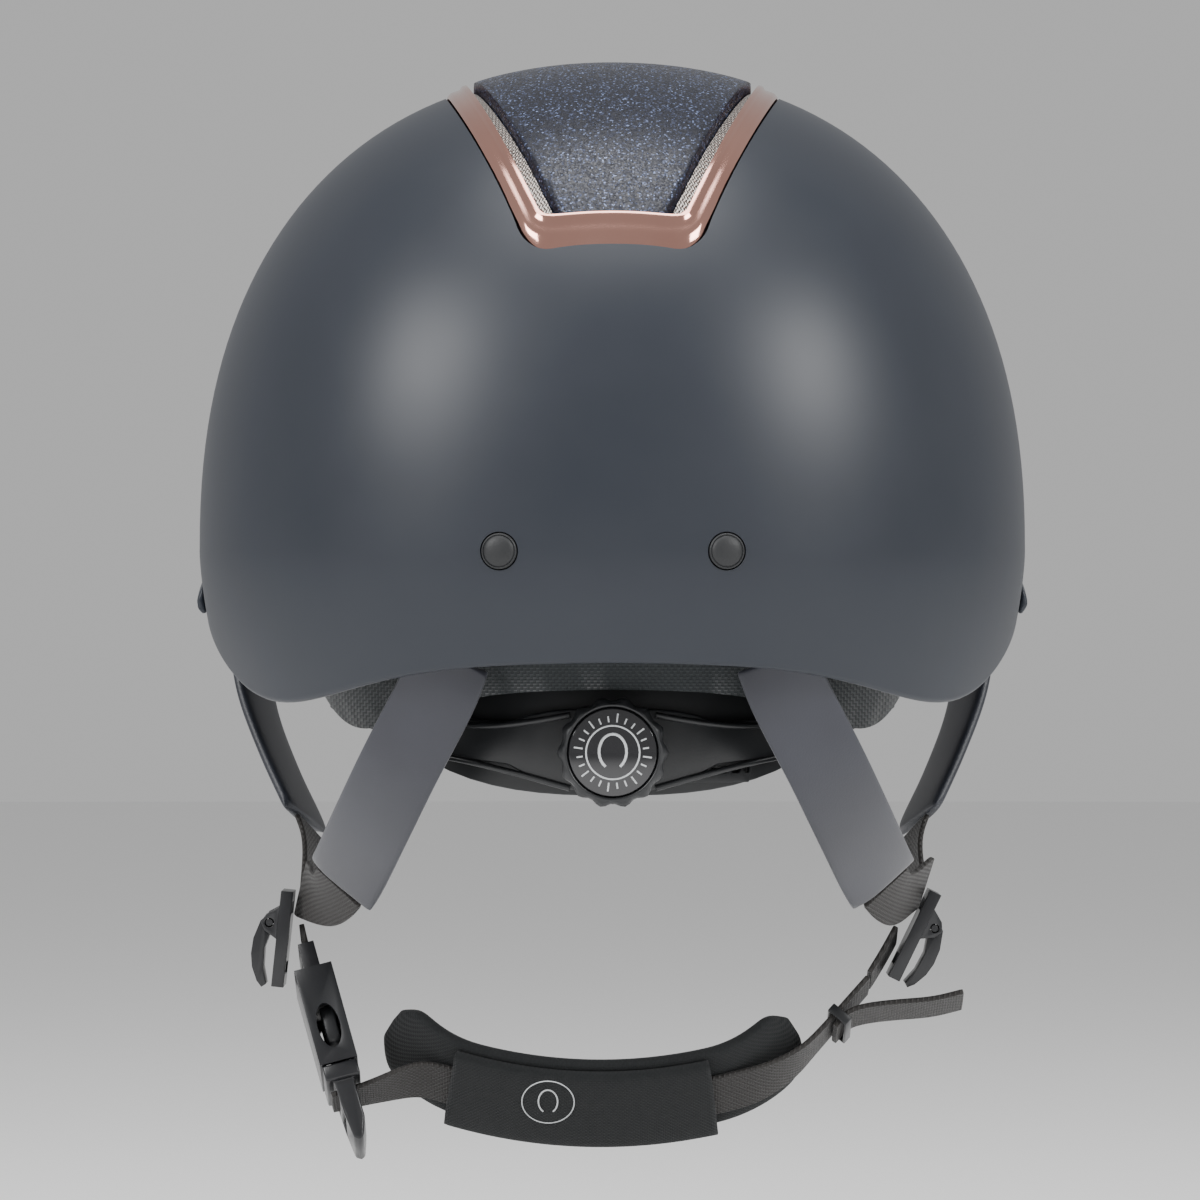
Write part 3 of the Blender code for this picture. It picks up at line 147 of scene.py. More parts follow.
def maths(tree, operation, *values):
    """A Math node fed by numbers or sockets, and its result."""
    node = tree.nodes.new("ShaderNodeMath")
    node.operation = operation
    for k, value in enumerate(values):
        if isinstance(value, (int, float)):
            node.inputs[k].default_value = value
        else:
            tree.links.new(value, node.inputs[k])
    return node.outputs[0]


# Fine grain: a small pebbled height, and slow mottling over centimetres.
grain, grain_in, grain_out = shader_group(
    "fine_grain",
    (("Vector", "NodeSocketVector", None), ("Scale", "NodeSocketFloat", 900.0)),
    (("Height", "NodeSocketFloat"), ("Mottle", "NodeSocketFloat")))
pebble = grain.nodes.new("ShaderNodeTexNoise")
pebble.inputs["Detail"].default_value = 3.0
grain.links.new(grain_in.outputs["Vector"], pebble.inputs["Vector"])
grain.links.new(grain_in.outputs["Scale"], pebble.inputs["Scale"])
slow = grain.nodes.new("ShaderNodeTexNoise")
slow.inputs["Scale"].default_value = 38.0
slow.inputs["Detail"].default_value = 5.0
grain.links.new(grain_in.outputs["Vector"], slow.inputs["Vector"])
grain.links.new(pebble.outputs["Fac"], grain_out.inputs["Height"])
grain.links.new(slow.outputs["Fac"], grain_out.inputs["Mottle"])


def start_material(name, roughness, metallic=0.0, **sockets):
    """A material with its Principled shader's plain values set, and an Object coordinate."""
    made = bpy.data.materials.new(name)
    made.use_nodes = True
    tree = made.node_tree
    shader = tree.nodes["Principled BSDF"]
    shader.inputs["Roughness"].default_value = roughness
    shader.inputs["Metallic"].default_value = metallic
    for label, value in sockets.items():
        shader.inputs[label.replace("_", " ")].default_value = value
    where = tree.nodes.new("ShaderNodeTexCoord").outputs["Object"]
    return made, tree, shader, where


def shade(tree, shader, mask, dark, light, low=0.3, high=0.7):
    """Base Color between two colours, by a mask."""
    ramp = tree.nodes.new("ShaderNodeValToRGB")
    ramp.color_ramp.elements[0].position = low
    ramp.color_ramp.elements[0].color = (*dark, 1)
    ramp.color_ramp.elements[1].position = high
    ramp.color_ramp.elements[1].color = (*light, 1)
    tree.links.new(mask, ramp.inputs["Fac"])
    tree.links.new(ramp.outputs["Color"], shader.inputs["Base Color"])
    return ramp


def roughen(tree, shader, mask, low, high):
    """Roughness between two values, by a mask."""
    spread = tree.nodes.new("ShaderNodeMapRange")
    spread.inputs["To Min"].default_value = low
    spread.inputs["To Max"].default_value = high
    tree.links.new(mask, spread.inputs["Value"])
    tree.links.new(spread.outputs["Result"], shader.inputs["Roughness"])


def emboss(tree, shader, height, strength, depth):
    """A Bump from a height, depth metres high."""
    bump = tree.nodes.new("ShaderNodeBump")
    bump.inputs["Strength"].default_value = strength
    bump.inputs["Distance"].default_value = depth
    tree.links.new(height, bump.inputs["Height"])
    tree.links.new(bump.outputs["Normal"], shader.inputs["Normal"])
    return bump


def use_group(tree, group, where, **values):
    node = tree.nodes.new("ShaderNodeGroup")
    node.node_tree = group
    tree.links.new(where, node.inputs["Vector"])
    for label, value in values.items():
        node.inputs[label].default_value = value
    return node


def grained(name, dark, light, rough, scale, strength=0.3, depth=0.0002, metallic=0.0, **sockets):
    """A plain finish with fine grain: paint, moulded plastic, foam or coated leather."""
    made, tree, shader, where = start_material(name, rough[0], metallic, **sockets)
    node = use_group(tree, grain, where, Scale=scale)
    shade(tree, shader, node.outputs["Mottle"], dark, light)
    roughen(tree, shader, node.outputs["Mottle"], *rough)
    emboss(tree, shader, node.outputs["Height"], strength, depth)
    return made


def lengthwise(y, inset):
    return (REAR_LENGTH if y < 0 else FRONT_LENGTH) - inset


def dome_point(azimuth, z, inset):
    """A point on the dome. Azimuth is in radians: 0 at the back, a quarter turn at the right."""
    side, back = sin(azimuth), cos(azimuth)
    share = (abs(side) / (HALF_WIDTH - inset)) ** DOME_POWER
    share += (abs(back) / lengthwise(-back, inset)) ** DOME_POWER
    if z >= WIDEST_Z:
        rise = min((z - WIDEST_Z) / (DOME_HEIGHT - inset), 1.0)
        level = (1 - rise ** DOME_POWER) ** (1 / DOME_POWER)
    else:
        level = 1 - TUCK * ((WIDEST_Z - z) / TUCK_DEPTH) ** 1.5
    radius = share ** (-1 / DOME_POWER) * level
    return Vector((radius * side, -radius * back, z))


def edge_z(azimuth):
    """Height of the shell's lower edge, with a lobe behind each ear."""
    turn = abs((azimuth + pi) % (2 * pi) - pi)
    lobe = 0.015 * 2.718 ** -(((turn - radians(52)) / radians(24)) ** 2)
    return -0.1105 - 0.0125 * cos(turn) - lobe


def spun(profile, turns=TURNS):
    """A profile of (share, level) points spun round the upright axis, as a closed bmesh.
    Afterwards a vertex's height is its level, and its angle its azimuth."""
    bm = bmesh.new()
    verts = [bm.verts.new((share, 0, level)) for share, level in profile]
    edges = [bm.edges.new(pair) for pair in zip(verts, verts[1:])]
    bmesh.ops.spin(bm, geom=verts + edges, cent=(0, 0, 0), axis=(0, 0, 1), angle=2 * pi,
                   steps=turns, use_merge=True, dvec=(0, 0, 0))
    bmesh.ops.remove_doubles(bm, verts=bm.verts, dist=1e-5)
    return bm


def as_piece(name, bm, paint, sharp=35, outwards=True):
    """Turns a finished bmesh into an object with one material."""
    if outwards:
        bmesh.ops.recalc_face_normals(bm, faces=bm.faces)
    mesh = bpy.data.meshes.new(name)
    bm.to_mesh(mesh)
    bm.free()
    mesh.materials.append(paint)
    mesh.shade_smooth()
    mesh.set_sharp_from_angle(angle=radians(sharp))
    piece = bpy.data.objects.new(name, mesh)
    bpy.context.scene.collection.objects.link(piece)
    return piece


def bowl(name, outer, inner, lift, paint, rows=44, skirt=14, rim=6, rounding=RIM_ROUND):
    """A domed wall between two insets with a rounded lower edge."""
    wall = [("out", k / rows, 0.0) for k in range(rows + 1)]
    wall += [("out", 1.0, (k + 1) / skirt) for k in range(skirt)]
    wall += [("rim", (k + 1) / (rim + 1), 1.0) for k in range(rim)]
    wall += [("in", 1.0, 1 - k / skirt) for k in range(skirt)]
    wall += [("in", 1 - k / rows, 0.0) for k in range(rows + 1)]
    count = len(wall)
    profile = [(sin(pi * k / (count - 1)), float(k)) for k in range(count)]
    profile[0] = (0.0, 0.0)
    profile[-1] = (0.0, float(count - 1))
    bm = spun(profile)
    for vert in bm.verts:
        side, share, drop = wall[round(vert.co.z)]
        azimuth = atan2(vert.co.x, -vert.co.y)
        inset = outer if side == "out" else inner
        low = edge_z(azimuth) + lift + rounding
        if side == "rim":
            turn = pi * share
            middle, half = (outer + inner) / 2, (inner - outer) / 2
            spot = dome_point(azimuth, low, middle - half * cos(turn))
            vert.co = spot - Vector((0, 0, rounding * sin(turn)))
            continue
        z = WIDEST_Z + (DOME_HEIGHT - inset) * cos(pi / 2 * share) ** (2 / DOME_POWER)
        if share == 1.0:
            z = WIDEST_Z + (low - WIDEST_Z) * drop
        vert.co = dome_point(azimuth, z, inset)
    return as_piece(name, bm, paint, sharp=50)


# The opening's outline, in plan: its sides bow in towards both ends.
OPENING_LENGTH = 0.1031


def opening_half(y):
    return 0.0435 - 0.0093 * (abs(y) / 0.072) ** 2.43


def opening_outline(inset, count=48, corner=0.006):
    """Points round the opening, drawn in by an inset, with rounded corners."""
    length = OPENING_LENGTH - inset
    corner = max(corner - inset * 0.6, 0.0012)
    right = []
    for k in range(count + 1):
        y = (length - corner) * (2 * k / count - 1)
        right.append((opening_half(y) - inset, y))
    reach, turn_y = right[-1]
    shrink = opening_half(turn_y) - opening_half(length)
    for k in range(1, 9):
        turn = pi / 2 * k / 8
        right.append((reach - corner * (1 - cos(turn)) - shrink * k / 8, turn_y + corner * sin(turn)))
    half_end = right[-1][0]
    right += [(half_end * (1 - k / 6), length) for k in range(1, 6)]
    back = [(x, -y) for x, y in reversed(right[count + 1:])]
    half = [(0.0, -length)] + back + right + [(0.0, length)]
    return half + [(-x, y) for x, y in reversed(half[1:-1])]


def cut_through(piece, outline_bm, matrix=Matrix.Identity(4)):
    """Cuts a helper shape out of a piece and applies the cut."""
    bmesh.ops.transform(outline_bm, matrix=matrix, verts=outline_bm.verts)
    tool = as_piece("cutter", outline_bm, piece.data.materials[0])
    change = piece.modifiers.new("cut", "BOOLEAN")
    change.object = tool
    change.solver = "EXACT"
    bpy.context.view_layer.update()
    seen = piece.evaluated_get(bpy.context.evaluated_depsgraph_get())
    cut = bpy.data.meshes.new_from_object(seen)
    piece.modifiers.clear()
    piece.data = cut
    bpy.data.objects.remove(tool)
    cut.set_sharp_from_angle(angle=radians(45))


def column(outline, low, high):
    """A flat outline drawn up from low to high."""
    bm = bmesh.new()
    face = bm.faces.new([bm.verts.new((x, y, low)) for x, y in outline])
    grown = bmesh.ops.extrude_face_region(bm, geom=[face])
    top = [g for g in grown["geom"] if isinstance(g, bmesh.types.BMVert)]
    bmesh.ops.translate(bm, verts=top, vec=(0, 0, high - low))
    return bm


PLUG_RADIUS = 0.0045
PLUG_X = 0.0282
PLUG_Z = -0.0954


def plug_frame(side):
    """Where a plug sits: on the shell's outside, with its axis along the surface normal."""
    share = 1 - (PLUG_X / HALF_WIDTH) ** DOME_POWER
    y = -REAR_LENGTH * share ** (1 / DOME_POWER)
    out = Vector((side * (PLUG_X / HALF_WIDTH) ** (DOME_POWER - 1) / HALF_WIDTH,
                  -(abs(y) / REAR_LENGTH) ** (DOME_POWER - 1) / REAR_LENGTH, 0)).normalized()
    turn = Vector((0, 0, 1)).rotation_difference(out).to_matrix().to_4x4()
    return Matrix.Translation((side * PLUG_X, y, PLUG_Z)) @ turn


navy_paint = grained("matte_navy_paint", (0.014, 0.018, 0.027), (0.017, 0.021, 0.030),
                     (0.40, 0.46), 2600.0, 0.12, 0.00006, Specular_IOR_Level=0.5)
shell = bowl("shell_moulding", 0.0, SHELL_WALL, 0.0, navy_paint)
cut_through(shell, column(opening_outline(0.0), -0.06, 0.06))
for side in (-1, 1):
    hole = bmesh.new()
    bmesh.ops.create_cone(hole, cap_ends=True, segments=48, radius1=PLUG_RADIUS + 0.0003,
                          radius2=PLUG_RADIUS + 0.0003, depth=0.016)
    cut_through(shell, hole, plug_frame(side))
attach(shell, "helmet")
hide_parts("outer_shell")


# ---------------------------------------------------------------- foam liner and headband
# Black EPS bead foam glued inside the shell, and a padded band of knitted fabric inside it
# that hangs a little below the shell's edge at the back.
bead_foam, tree, shader, where = start_material("bead_foam", 0.75)
beads = tree.nodes.new("ShaderNodeTexVoronoi")
beads.inputs["Scale"].default_value = 330.0
tree.links.new(where, beads.inputs["Vector"])
shade(tree, shader, beads.outputs["Distance"], (0.030, 0.031, 0.033), (0.010, 0.010, 0.011), 0.2, 0.8)
emboss(tree, shader, maths(tree, "MULTIPLY", beads.outputs["Distance"], -1.0), 0.6, 0.0006)

LINER_OUT, LINER_IN, LINER_LIFT = 0.0039, 0.0219, 0.008
liner = bowl("foam_liner", LINER_OUT, LINER_IN, LINER_LIFT, bead_foam, rows=36, skirt=8, rim=4,
             rounding=0.003)
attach(liner, "helmet")
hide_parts("eps_liner")


# Knit: rows of small loops across and along the cloth, for knitted and woven fabric alike.
weave, weave_in, weave_out = shader_group(
    "over_under_weave",
    (("Vector", "NodeSocketVector", None), ("Pitch", "NodeSocketFloat", 0.0008)),
    (("Height", "NodeSocketFloat"), ("Thread", "NodeSocketFloat"), ("Fuzz", "NodeSocketFloat")))
split = weave.nodes.new("ShaderNodeSeparateXYZ")
weave.links.new(weave_in.outputs["Vector"], split.inputs[0])
step = maths(weave, "DIVIDE", pi, weave_in.outputs["Pitch"])
across_wave = maths(weave, "SINE", maths(weave, "MULTIPLY", split.outputs["X"], step))
along_wave = maths(weave, "SINE", maths(weave, "MULTIPLY", split.outputs["Y"], step))
over = maths(weave, "GREATER_THAN", maths(weave, "MULTIPLY", across_wave, along_wave), 0.0)
warp = maths(weave, "ABSOLUTE", across_wave)
weft = maths(weave, "ABSOLUTE", along_wave)
height = maths(weave, "ADD", maths(weave, "MULTIPLY", warp, over),
               maths(weave, "MULTIPLY", weft, maths(weave, "SUBTRACT", 1.0, over)))
fuzz = weave.nodes.new("ShaderNodeTexNoise")
fuzz.inputs["Scale"].default_value = 500.0
fuzz.inputs["Detail"].default_value = 4.0
weave.links.new(weave_in.outputs["Vector"], fuzz.inputs["Vector"])
weave.links.new(height, weave_out.inputs["Height"])
weave.links.new(over, weave_out.inputs["Thread"])
weave.links.new(fuzz.outputs["Fac"], weave_out.inputs["Fuzz"])


def woven(name, dark, light, pitch, turn=(0, 0, 0), rough=0.8, strength=0.5, sheen=0.3):
    """Cloth or webbing: an over-and-under weave turned to lie along the piece, with fuzz."""
    made, tree, shader, where = start_material(name, rough, Sheen_Weight=sheen)
    shader.inputs["Sheen Roughness"].default_value = 0.5
    laid = tree.nodes.new("ShaderNodeMapping")
    laid.inputs["Rotation"].default_value = [radians(a) for a in turn]
    tree.links.new(where, laid.inputs["Vector"])
    node = use_group(tree, weave, laid.outputs["Vector"], Pitch=pitch)
    tone = maths(tree, "ADD", maths(tree, "MULTIPLY", node.outputs["Height"], 0.6),
                 maths(tree, "MULTIPLY", node.outputs["Fuzz"], 0.5))
    shade(tree, shader, tone, dark, light, 0.2, 0.95)
    roughen(tree, shader, node.outputs["Fuzz"], rough - 0.12, min(rough + 0.1, 1.0))
    emboss(tree, shader, node.outputs["Height"], strength, pitch * 0.4)
    return made


knit = woven("green_black_knit", (0.006, 0.009, 0.010), (0.018, 0.023, 0.026), 0.0008,
             (90, 0, 0), 0.85, 0.55)

PAD_OUT, PAD_IN = 0.0229, 0.0279


def headband_bottom(azimuth):
    turn = abs((azimuth + pi) % (2 * pi) - pi)
    lift = min(max((turn - radians(75)) / radians(30), 0), 1)
    return edge_z(azimuth) - 0.0068 + 0.0110 * lift


def ring_piece(name, place, paint, around=24, turns=TURNS):
    """A soft ring: a small circle spun into a torus, then each point put in its place."""
    bm = bmesh.new()
    bmesh.ops.create_circle(bm, segments=around, radius=1.0)
    bmesh.ops.rotate(bm, verts=bm.verts, matrix=Matrix.Rotation(pi / 2, 3, "X"))
    bmesh.ops.translate(bm, verts=bm.verts, vec=(3, 0, 0))
    geometry = list(bm.verts) + list(bm.edges)
    bmesh.ops.spin(bm, geom=geometry, cent=(0, 0, 0), axis=(0, 0, 1), angle=2 * pi, steps=turns,
                   use_merge=True, dvec=(0, 0, 0))
    bmesh.ops.remove_doubles(bm, verts=bm.verts, dist=1e-5)
    for vert in bm.verts:
        azimuth = atan2(vert.co.x, -vert.co.y)
        outward = Vector((vert.co.x, vert.co.y)).length - 3
        vert.co = place(azimuth, outward, vert.co.z)
    return as_piece(name, bm, paint, sharp=80)


def headband_place(azimuth, outward, upward):
    """The band's section is a rounded slab, puffed between lines of stitching."""
    low, high = headband_bottom(azimuth), WIDEST_Z + 0.014
    squared = max(abs(outward), abs(upward))
    along = upward / squared
    z = (low + high) / 2 + (high - low) / 2 * (1 - (1 - abs(along)) ** 1.2) * (1 if along > 0 else -1)
    quilt = abs(sin(pi * (z - low) / 0.0125)) ** 0.5
    ends = (1 - abs(along) ** 6) ** 0.5
    depth = (PAD_OUT + PAD_IN) / 2 - outward / squared * (PAD_IN - PAD_OUT) / 2 * ends
    if outward < 0:
        depth += 0.0006 * (quilt - 1) * ends
    return dome_point(azimuth, z, depth)


headband = ring_piece("knit_headband", headband_place, knit)
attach(headband, "helmet")
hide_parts("headband_pad")


def welded(node):
    """A copy of a CAD piece's mesh, with its loose triangles joined up again."""
    bm = bmesh.new()
    bm.from_mesh(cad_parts[node].data)
    bmesh.ops.remove_doubles(bm, verts=bm.verts, dist=2e-6)
    return bm


def softened(name, node, paint, levels=2, crease_above=None, crease=0.5, sharp=60):
    """A CAD piece whose facets become one smooth skin; sharp edges can keep a crease."""
    bm = welded(node)
    bmesh.ops.join_triangles(bm, faces=bm.faces, angle_face_threshold=radians(50),
                             angle_shape_threshold=radians(170))
    if crease_above:
        layer = bm.edges.layers.float.new("crease_edge")
        for edge in bm.edges:
            if edge.is_manifold and edge.calc_face_angle(0.0) > radians(crease_above):
                edge[layer] = crease
    piece = as_piece(name, bm, paint, sharp)
    smooth = piece.modifiers.new("smooth", "SUBSURF")
    smooth.levels = levels
    smooth.render_levels = levels
    return piece


def rounded(name, node, paint, width, segments=2, above=35, sharp=40):
    """A CAD piece with its flat faces whole again and its edges broken by a small radius."""
    bm = welded(node)
    bmesh.ops.dissolve_limit(bm, angle_limit=radians(0.4), verts=bm.verts, edges=bm.edges,
                             use_dissolve_boundaries=False)
    edges = [e for e in bm.edges if e.is_manifold and e.calc_face_angle(0.0) > radians(above)]
    bmesh.ops.bevel(bm, geom=edges, offset=width, offset_type="OFFSET", segments=segments,
                    profile=0.5, affect="EDGES", clamp_overlap=True, material=-1)
    return as_piece(name, bm, paint, sharp)


crown = softened("crown_cushion", "crown_pad", knit)
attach(crown, "helmet")
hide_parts("crown_pad")


# ---------------------------------------------------------------- peak
# A short moulded peak in the shell's paint, whose wings run back along both sides.
peak = softened("peak_moulding", "peak", navy_paint, crease_above=50, crease=0.4)
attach(peak, "helmet")
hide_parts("peak")


# ---------------------------------------------------------------- crown panel
# A domed panel faced with dark navy glitter, in a frame chromed in rose gold. Strips of
# woven steel mesh lie in the vents between them.
rose_chrome, tree, shader, where = start_material("rose_gold_chrome", 0.1, 1.0)
node = use_group(tree, grain, where, Scale=300.0)
shade(tree, shader, node.outputs["Mottle"], (0.62, 0.33, 0.27), (0.70, 0.39, 0.32))
roughen(tree, shader, node.outputs["Mottle"], 0.06, 0.16)

glitter, tree, shader, where = start_material("navy_glitter", 0.45)
flakes = tree.nodes.new("ShaderNodeTexVoronoi")
flakes.inputs["Scale"].default_value = 2500.0
tree.links.new(where, flakes.inputs["Vector"])
flake_split = tree.nodes.new("ShaderNodeSeparateColor")
tree.links.new(flakes.outputs["Color"], flake_split.inputs[0])
spark = tree.nodes.new("ShaderNodeValToRGB")
spark.color_ramp.interpolation = "LINEAR"
spark.color_ramp.elements[0].position = 0.0
spark.color_ramp.elements[0].color = (0.004, 0.005, 0.012, 1)
spark.color_ramp.elements[1].position = 1.0
spark.color_ramp.elements[1].color = (0.20, 0.26, 0.46, 1)
for position, colour in ((0.55, (0.005, 0.006, 0.013)), (0.84, (0.011, 0.014, 0.032)),
                         (0.95, (0.05, 0.065, 0.13))):
    spark.color_ramp.elements.new(position).color = (*colour, 1)
tree.links.new(flake_split.outputs["Red"], spark.inputs["Fac"])
tree.links.new(spark.outputs["Color"], shader.inputs["Base Color"])
tree.links.new(maths(tree, "MULTIPLY", flake_split.outputs["Green"], 0.35), shader.inputs["Metallic"])
tree.links.new(maths(tree, "ADD", maths(tree, "MULTIPLY", flake_split.outputs["Blue"], 0.35), 0.25),
               shader.inputs["Roughness"])
emboss(tree, shader, flake_split.outputs["Green"], 0.8, 0.0002)

steel_mesh, tree, shader, where = start_material("woven_steel_mesh", 0.35)
laid = tree.nodes.new("ShaderNodeMapping")
laid.inputs["Rotation"].default_value = (radians(20), 0, radians(45))
tree.links.new(where, laid.inputs["Vector"])
node = use_group(tree, weave, laid.outputs["Vector"], Pitch=0.00062)
holes = tree.nodes.new("ShaderNodeValToRGB")
holes.color_ramp.elements[0].position = 0.42
holes.color_ramp.elements[0].color = (0.03, 0.028, 0.026, 1)
holes.color_ramp.elements[1].position = 0.62
holes.color_ramp.elements[1].color = (0.62, 0.57, 0.53, 1)
tree.links.new(node.outputs["Height"], holes.inputs["Fac"])
tree.links.new(holes.outputs["Color"], shader.inputs["Base Color"])
tree.links.new(maths(tree, "GREATER_THAN", node.outputs["Height"], 0.5), shader.inputs["Metallic"])
emboss(tree, shader, node.outputs["Height"], 0.8, 0.0003)

panel_frame = softened("crown_frame", "panel_frame", rose_chrome, 2, 28, 0.75, 30)
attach(panel_frame, "helmet")
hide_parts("panel_frame")

panel = softened("glitter_panel", "top_panel", glitter, 2, 60, 0.6)
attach(panel, "helmet")
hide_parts("top_panel")

for end in ("rear", "front"):
    for hand in ("left", "right"):
        strip = softened(f"mesh_strip_{end}_{hand}", f"vent_mesh_{end}_{hand}", steel_mesh, 2, 40, 1.0)
        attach(strip, "helmet")
        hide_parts(f"vent_mesh_{end}_{hand}")


# ---------------------------------------------------------------- rear plugs
# Two round rubber plugs, pressed into holes in the shell's back.
rubber = grained("plug_rubber", (0.010, 0.011, 0.012), (0.018, 0.019, 0.021), (0.45, 0.6), 1500.0)
for side, hand in ((-1, "left"), (1, "right")):
    profile = [(0.0, 0.0011), (0.0016, 0.00105), (0.0030, 0.00075), (0.0037, 0.00035),
               (0.0039, 0.00015), (0.0041, 0.00035), (0.0044, 0.00025), (0.0045, -0.0002),
               (0.0045, -0.0024), (0.0, -0.0024)]
    bm = spun(profile, 48)
    bmesh.ops.transform(bm, matrix=plug_frame(side), verts=bm.verts)
    plug = as_piece(f"rubber_plug_{hand}", bm, rubber, 60)
    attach(plug, "helmet")
    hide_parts(f"rear_plug_{hand}")


# ---------------------------------------------------------------- cradle and size bands
# The fit system: a black nylon cradle with raised ribs on its arms, a cover inside it, two
# toothed bands between them and a knitted nape pad.
nylon = grained("black_nylon", (0.012, 0.013, 0.014), (0.018, 0.019, 0.021), (0.28, 0.42), 1400.0,
                0.25, 0.0001)
dark_nylon = grained("dark_nylon", (0.008, 0.009, 0.010), (0.014, 0.015, 0.017), (0.4, 0.55), 1400.0,
                     0.25, 0.0001)
CRADLE_CENTRE_Y = -0.008
CRADLE_RADIUS = 0.0774
DIAL_Z = -0.1456

cradle = rounded("cradle_arms", "cradle", nylon, 0.0006)
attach(cradle, "helmet")
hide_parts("cradle")


def on_cradle(angle, height, stand=0.0):
    """A point on the cradle's outer face, angle degrees from the back."""
    radius = CRADLE_RADIUS + stand
    return Vector((radius * sin(radians(angle)), CRADLE_CENTRE_Y - radius * cos(radians(angle)),
                   DIAL_Z + height))


def swept(name, points, radius, paint, closed=False, sides=4):
    """A round rib or edge along a smooth path of points."""
    curve = bpy.data.curves.new(name, "CURVE")
    curve.dimensions = "3D"
    curve.bevel_depth = radius
    curve.bevel_resolution = sides
    curve.use_fill_caps = True
    spline = curve.splines.new("POLY")
    spline.use_cyclic_u = closed
    spline.points.add(len(points) - 1)
    for point, place in zip(spline.points, points):
        point.co = (*place, 1)
    drawn = bpy.data.objects.new(name, curve)
    bpy.context.scene.collection.objects.link(drawn)
    bpy.context.view_layer.update()
    mesh = bpy.data.meshes.new_from_object(drawn.evaluated_get(bpy.context.evaluated_depsgraph_get()))
    bpy.data.objects.remove(drawn)
    mesh.materials.clear()
    mesh.materials.append(paint)
    mesh.shade_smooth()
    piece = bpy.data.objects.new(name, mesh)
    bpy.context.scene.collection.objects.link(piece)
    return piece


for side, hand in ((-1, "left"), (1, "right")):
    for label, start, rise, bow in (("upper", 0.0092, 0.0012, 0.0034),
                                    ("lower", -0.0092, 0.0102, -0.0012)):
        path = []
        for k in range(25):
            share = k / 24
            path.append(on_cradle(side * (8 + 38 * share),
                                  start + rise * share - bow * sin(pi * share), 0.0001))
        rib = swept(f"cradle_rib_{label}_{hand}", path, 0.0008, nylon)
        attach(rib, "helmet")

for name, node, paint in (("dial_seat", "dial_housing", nylon),
                          ("cradle_cover", "cradle_backing", dark_nylon)):
    part = rounded(name, node, paint, 0.0004)
    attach(part, "helmet")
    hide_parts(node)

for hand in ("left", "right"):
    band = rounded(f"fit_band_{hand}", f"size_band_{hand}", dark_nylon, 0.0002)
    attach(band, f"size_band_{hand}")
    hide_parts(f"size_band_{hand}")

nape = softened("nape_cushion", "nape_pad", knit)
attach(nape, "helmet")
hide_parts("nape_pad")


# ---------------------------------------------------------------- dial
# A scalloped knob that turns the pinion, with a domed gloss cap printed in white with a ring,
# tick marks and a plain horseshoe.
gloss = grained("gloss_black_cap", (0.006, 0.006, 0.008), (0.008, 0.008, 0.010), (0.05, 0.10), 400.0,
                0.02, 0.00005, Coat_Weight=1.0)
print_white = grained("white_print", (0.55, 0.57, 0.58), (0.68, 0.70, 0.71), (0.3, 0.4), 2000.0, 0.1,
                      0.00003)
knob = rounded("dial_grip", "dial_knob", nylon, 0.0002, above=50)
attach(knob, "dial")
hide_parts("dial_knob")
for material_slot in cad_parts["dial_pinion"].material_slots:
    material_slot.material = dark_nylon

knob_low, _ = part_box("dial_knob")
KNOB_FRONT = knob_low.y
CAP_RADIUS = 0.0111
CAP_CROWN = 0.0012


def cap_face(radius):
    """How far forward the cap's domed face stands, at a distance from its axis."""
    return KNOB_FRONT + 0.0002 - CAP_CROWN * (1 - (radius / CAP_RADIUS) ** 2)


def on_cap(radius, angle, stand=0.0):
    return Vector((radius * sin(angle), cap_face(radius) - stand, DIAL_Z + radius * cos(angle)))


bm = spun([(0.0, 0.0)] + [(CAP_RADIUS * k / 12, k * 0.001) for k in range(1, 13)]
          + [(CAP_RADIUS, 0.013), (0.0, 0.014)], 96)
for vert in bm.verts:
    level = round(vert.co.z * 1000)
    radius = Vector((vert.co.x, vert.co.y)).length
    angle = atan2(vert.co.x, vert.co.y)
    depth = cap_face(radius) if level <= 12 else KNOB_FRONT + 0.0017
    vert.co = Vector((radius * sin(angle), depth, DIAL_Z + radius * cos(angle)))
cap = as_piece("gloss_cap", bm, gloss, 50)
edge_bevel = cap.modifiers.new("edge", "BEVEL")
edge_bevel.width = 0.0003
edge_bevel.segments = 2
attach(cap, "dial")
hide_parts("dial_cap")


def horseshoe(place, size, count=22):
    """A plain open horseshoe, as a path of points on a surface given by place(across, up)."""
    points = []
    for k in range(count + 1):
        turn = radians(-148 + 296 * k / count)
        points.append(place(size * 0.78 * sin(turn), size * cos(turn) * 1.0 + size * 0.05))
    return points


PRINT = 0.00022
ring_points = [on_cap(0.0067, 2 * pi * k / 64, 0.00005) for k in range(64)]
prints = [("cap_ring", ring_points, True)]
prints.append(("cap_horseshoe", horseshoe(
    lambda across, up: on_cap(sqrt(across ** 2 + up ** 2), atan2(across, up), 0.00005), 0.0044), False))
TICKS = 24
for k in range(TICKS):
    long_tick = 0.0098 if k % 3 == 0 else 0.0091
    prints.append((f"cap_tick_{k:02d}", [on_cap(r, 2 * pi * (k + 0.5) / TICKS, 0.00005)
                                         for r in (0.0076, long_tick)], False))
marks = [swept(label, points, PRINT * (1.6 if label == "cap_horseshoe" else 1.0), print_white, closed, 2)
         for label, points, closed in prints]


def joined(name, pieces):
    """Several like objects as one."""
    bm = bmesh.new()
    for piece in pieces:
        bm.from_mesh(piece.data)
    paint = pieces[0].data.materials[0]
    for piece in pieces:
        bpy.data.objects.remove(piece)
    return as_piece(name, bm, paint, 60, outwards=False)


cap_print = joined("cap_print", marks)
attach(cap_print, "dial")


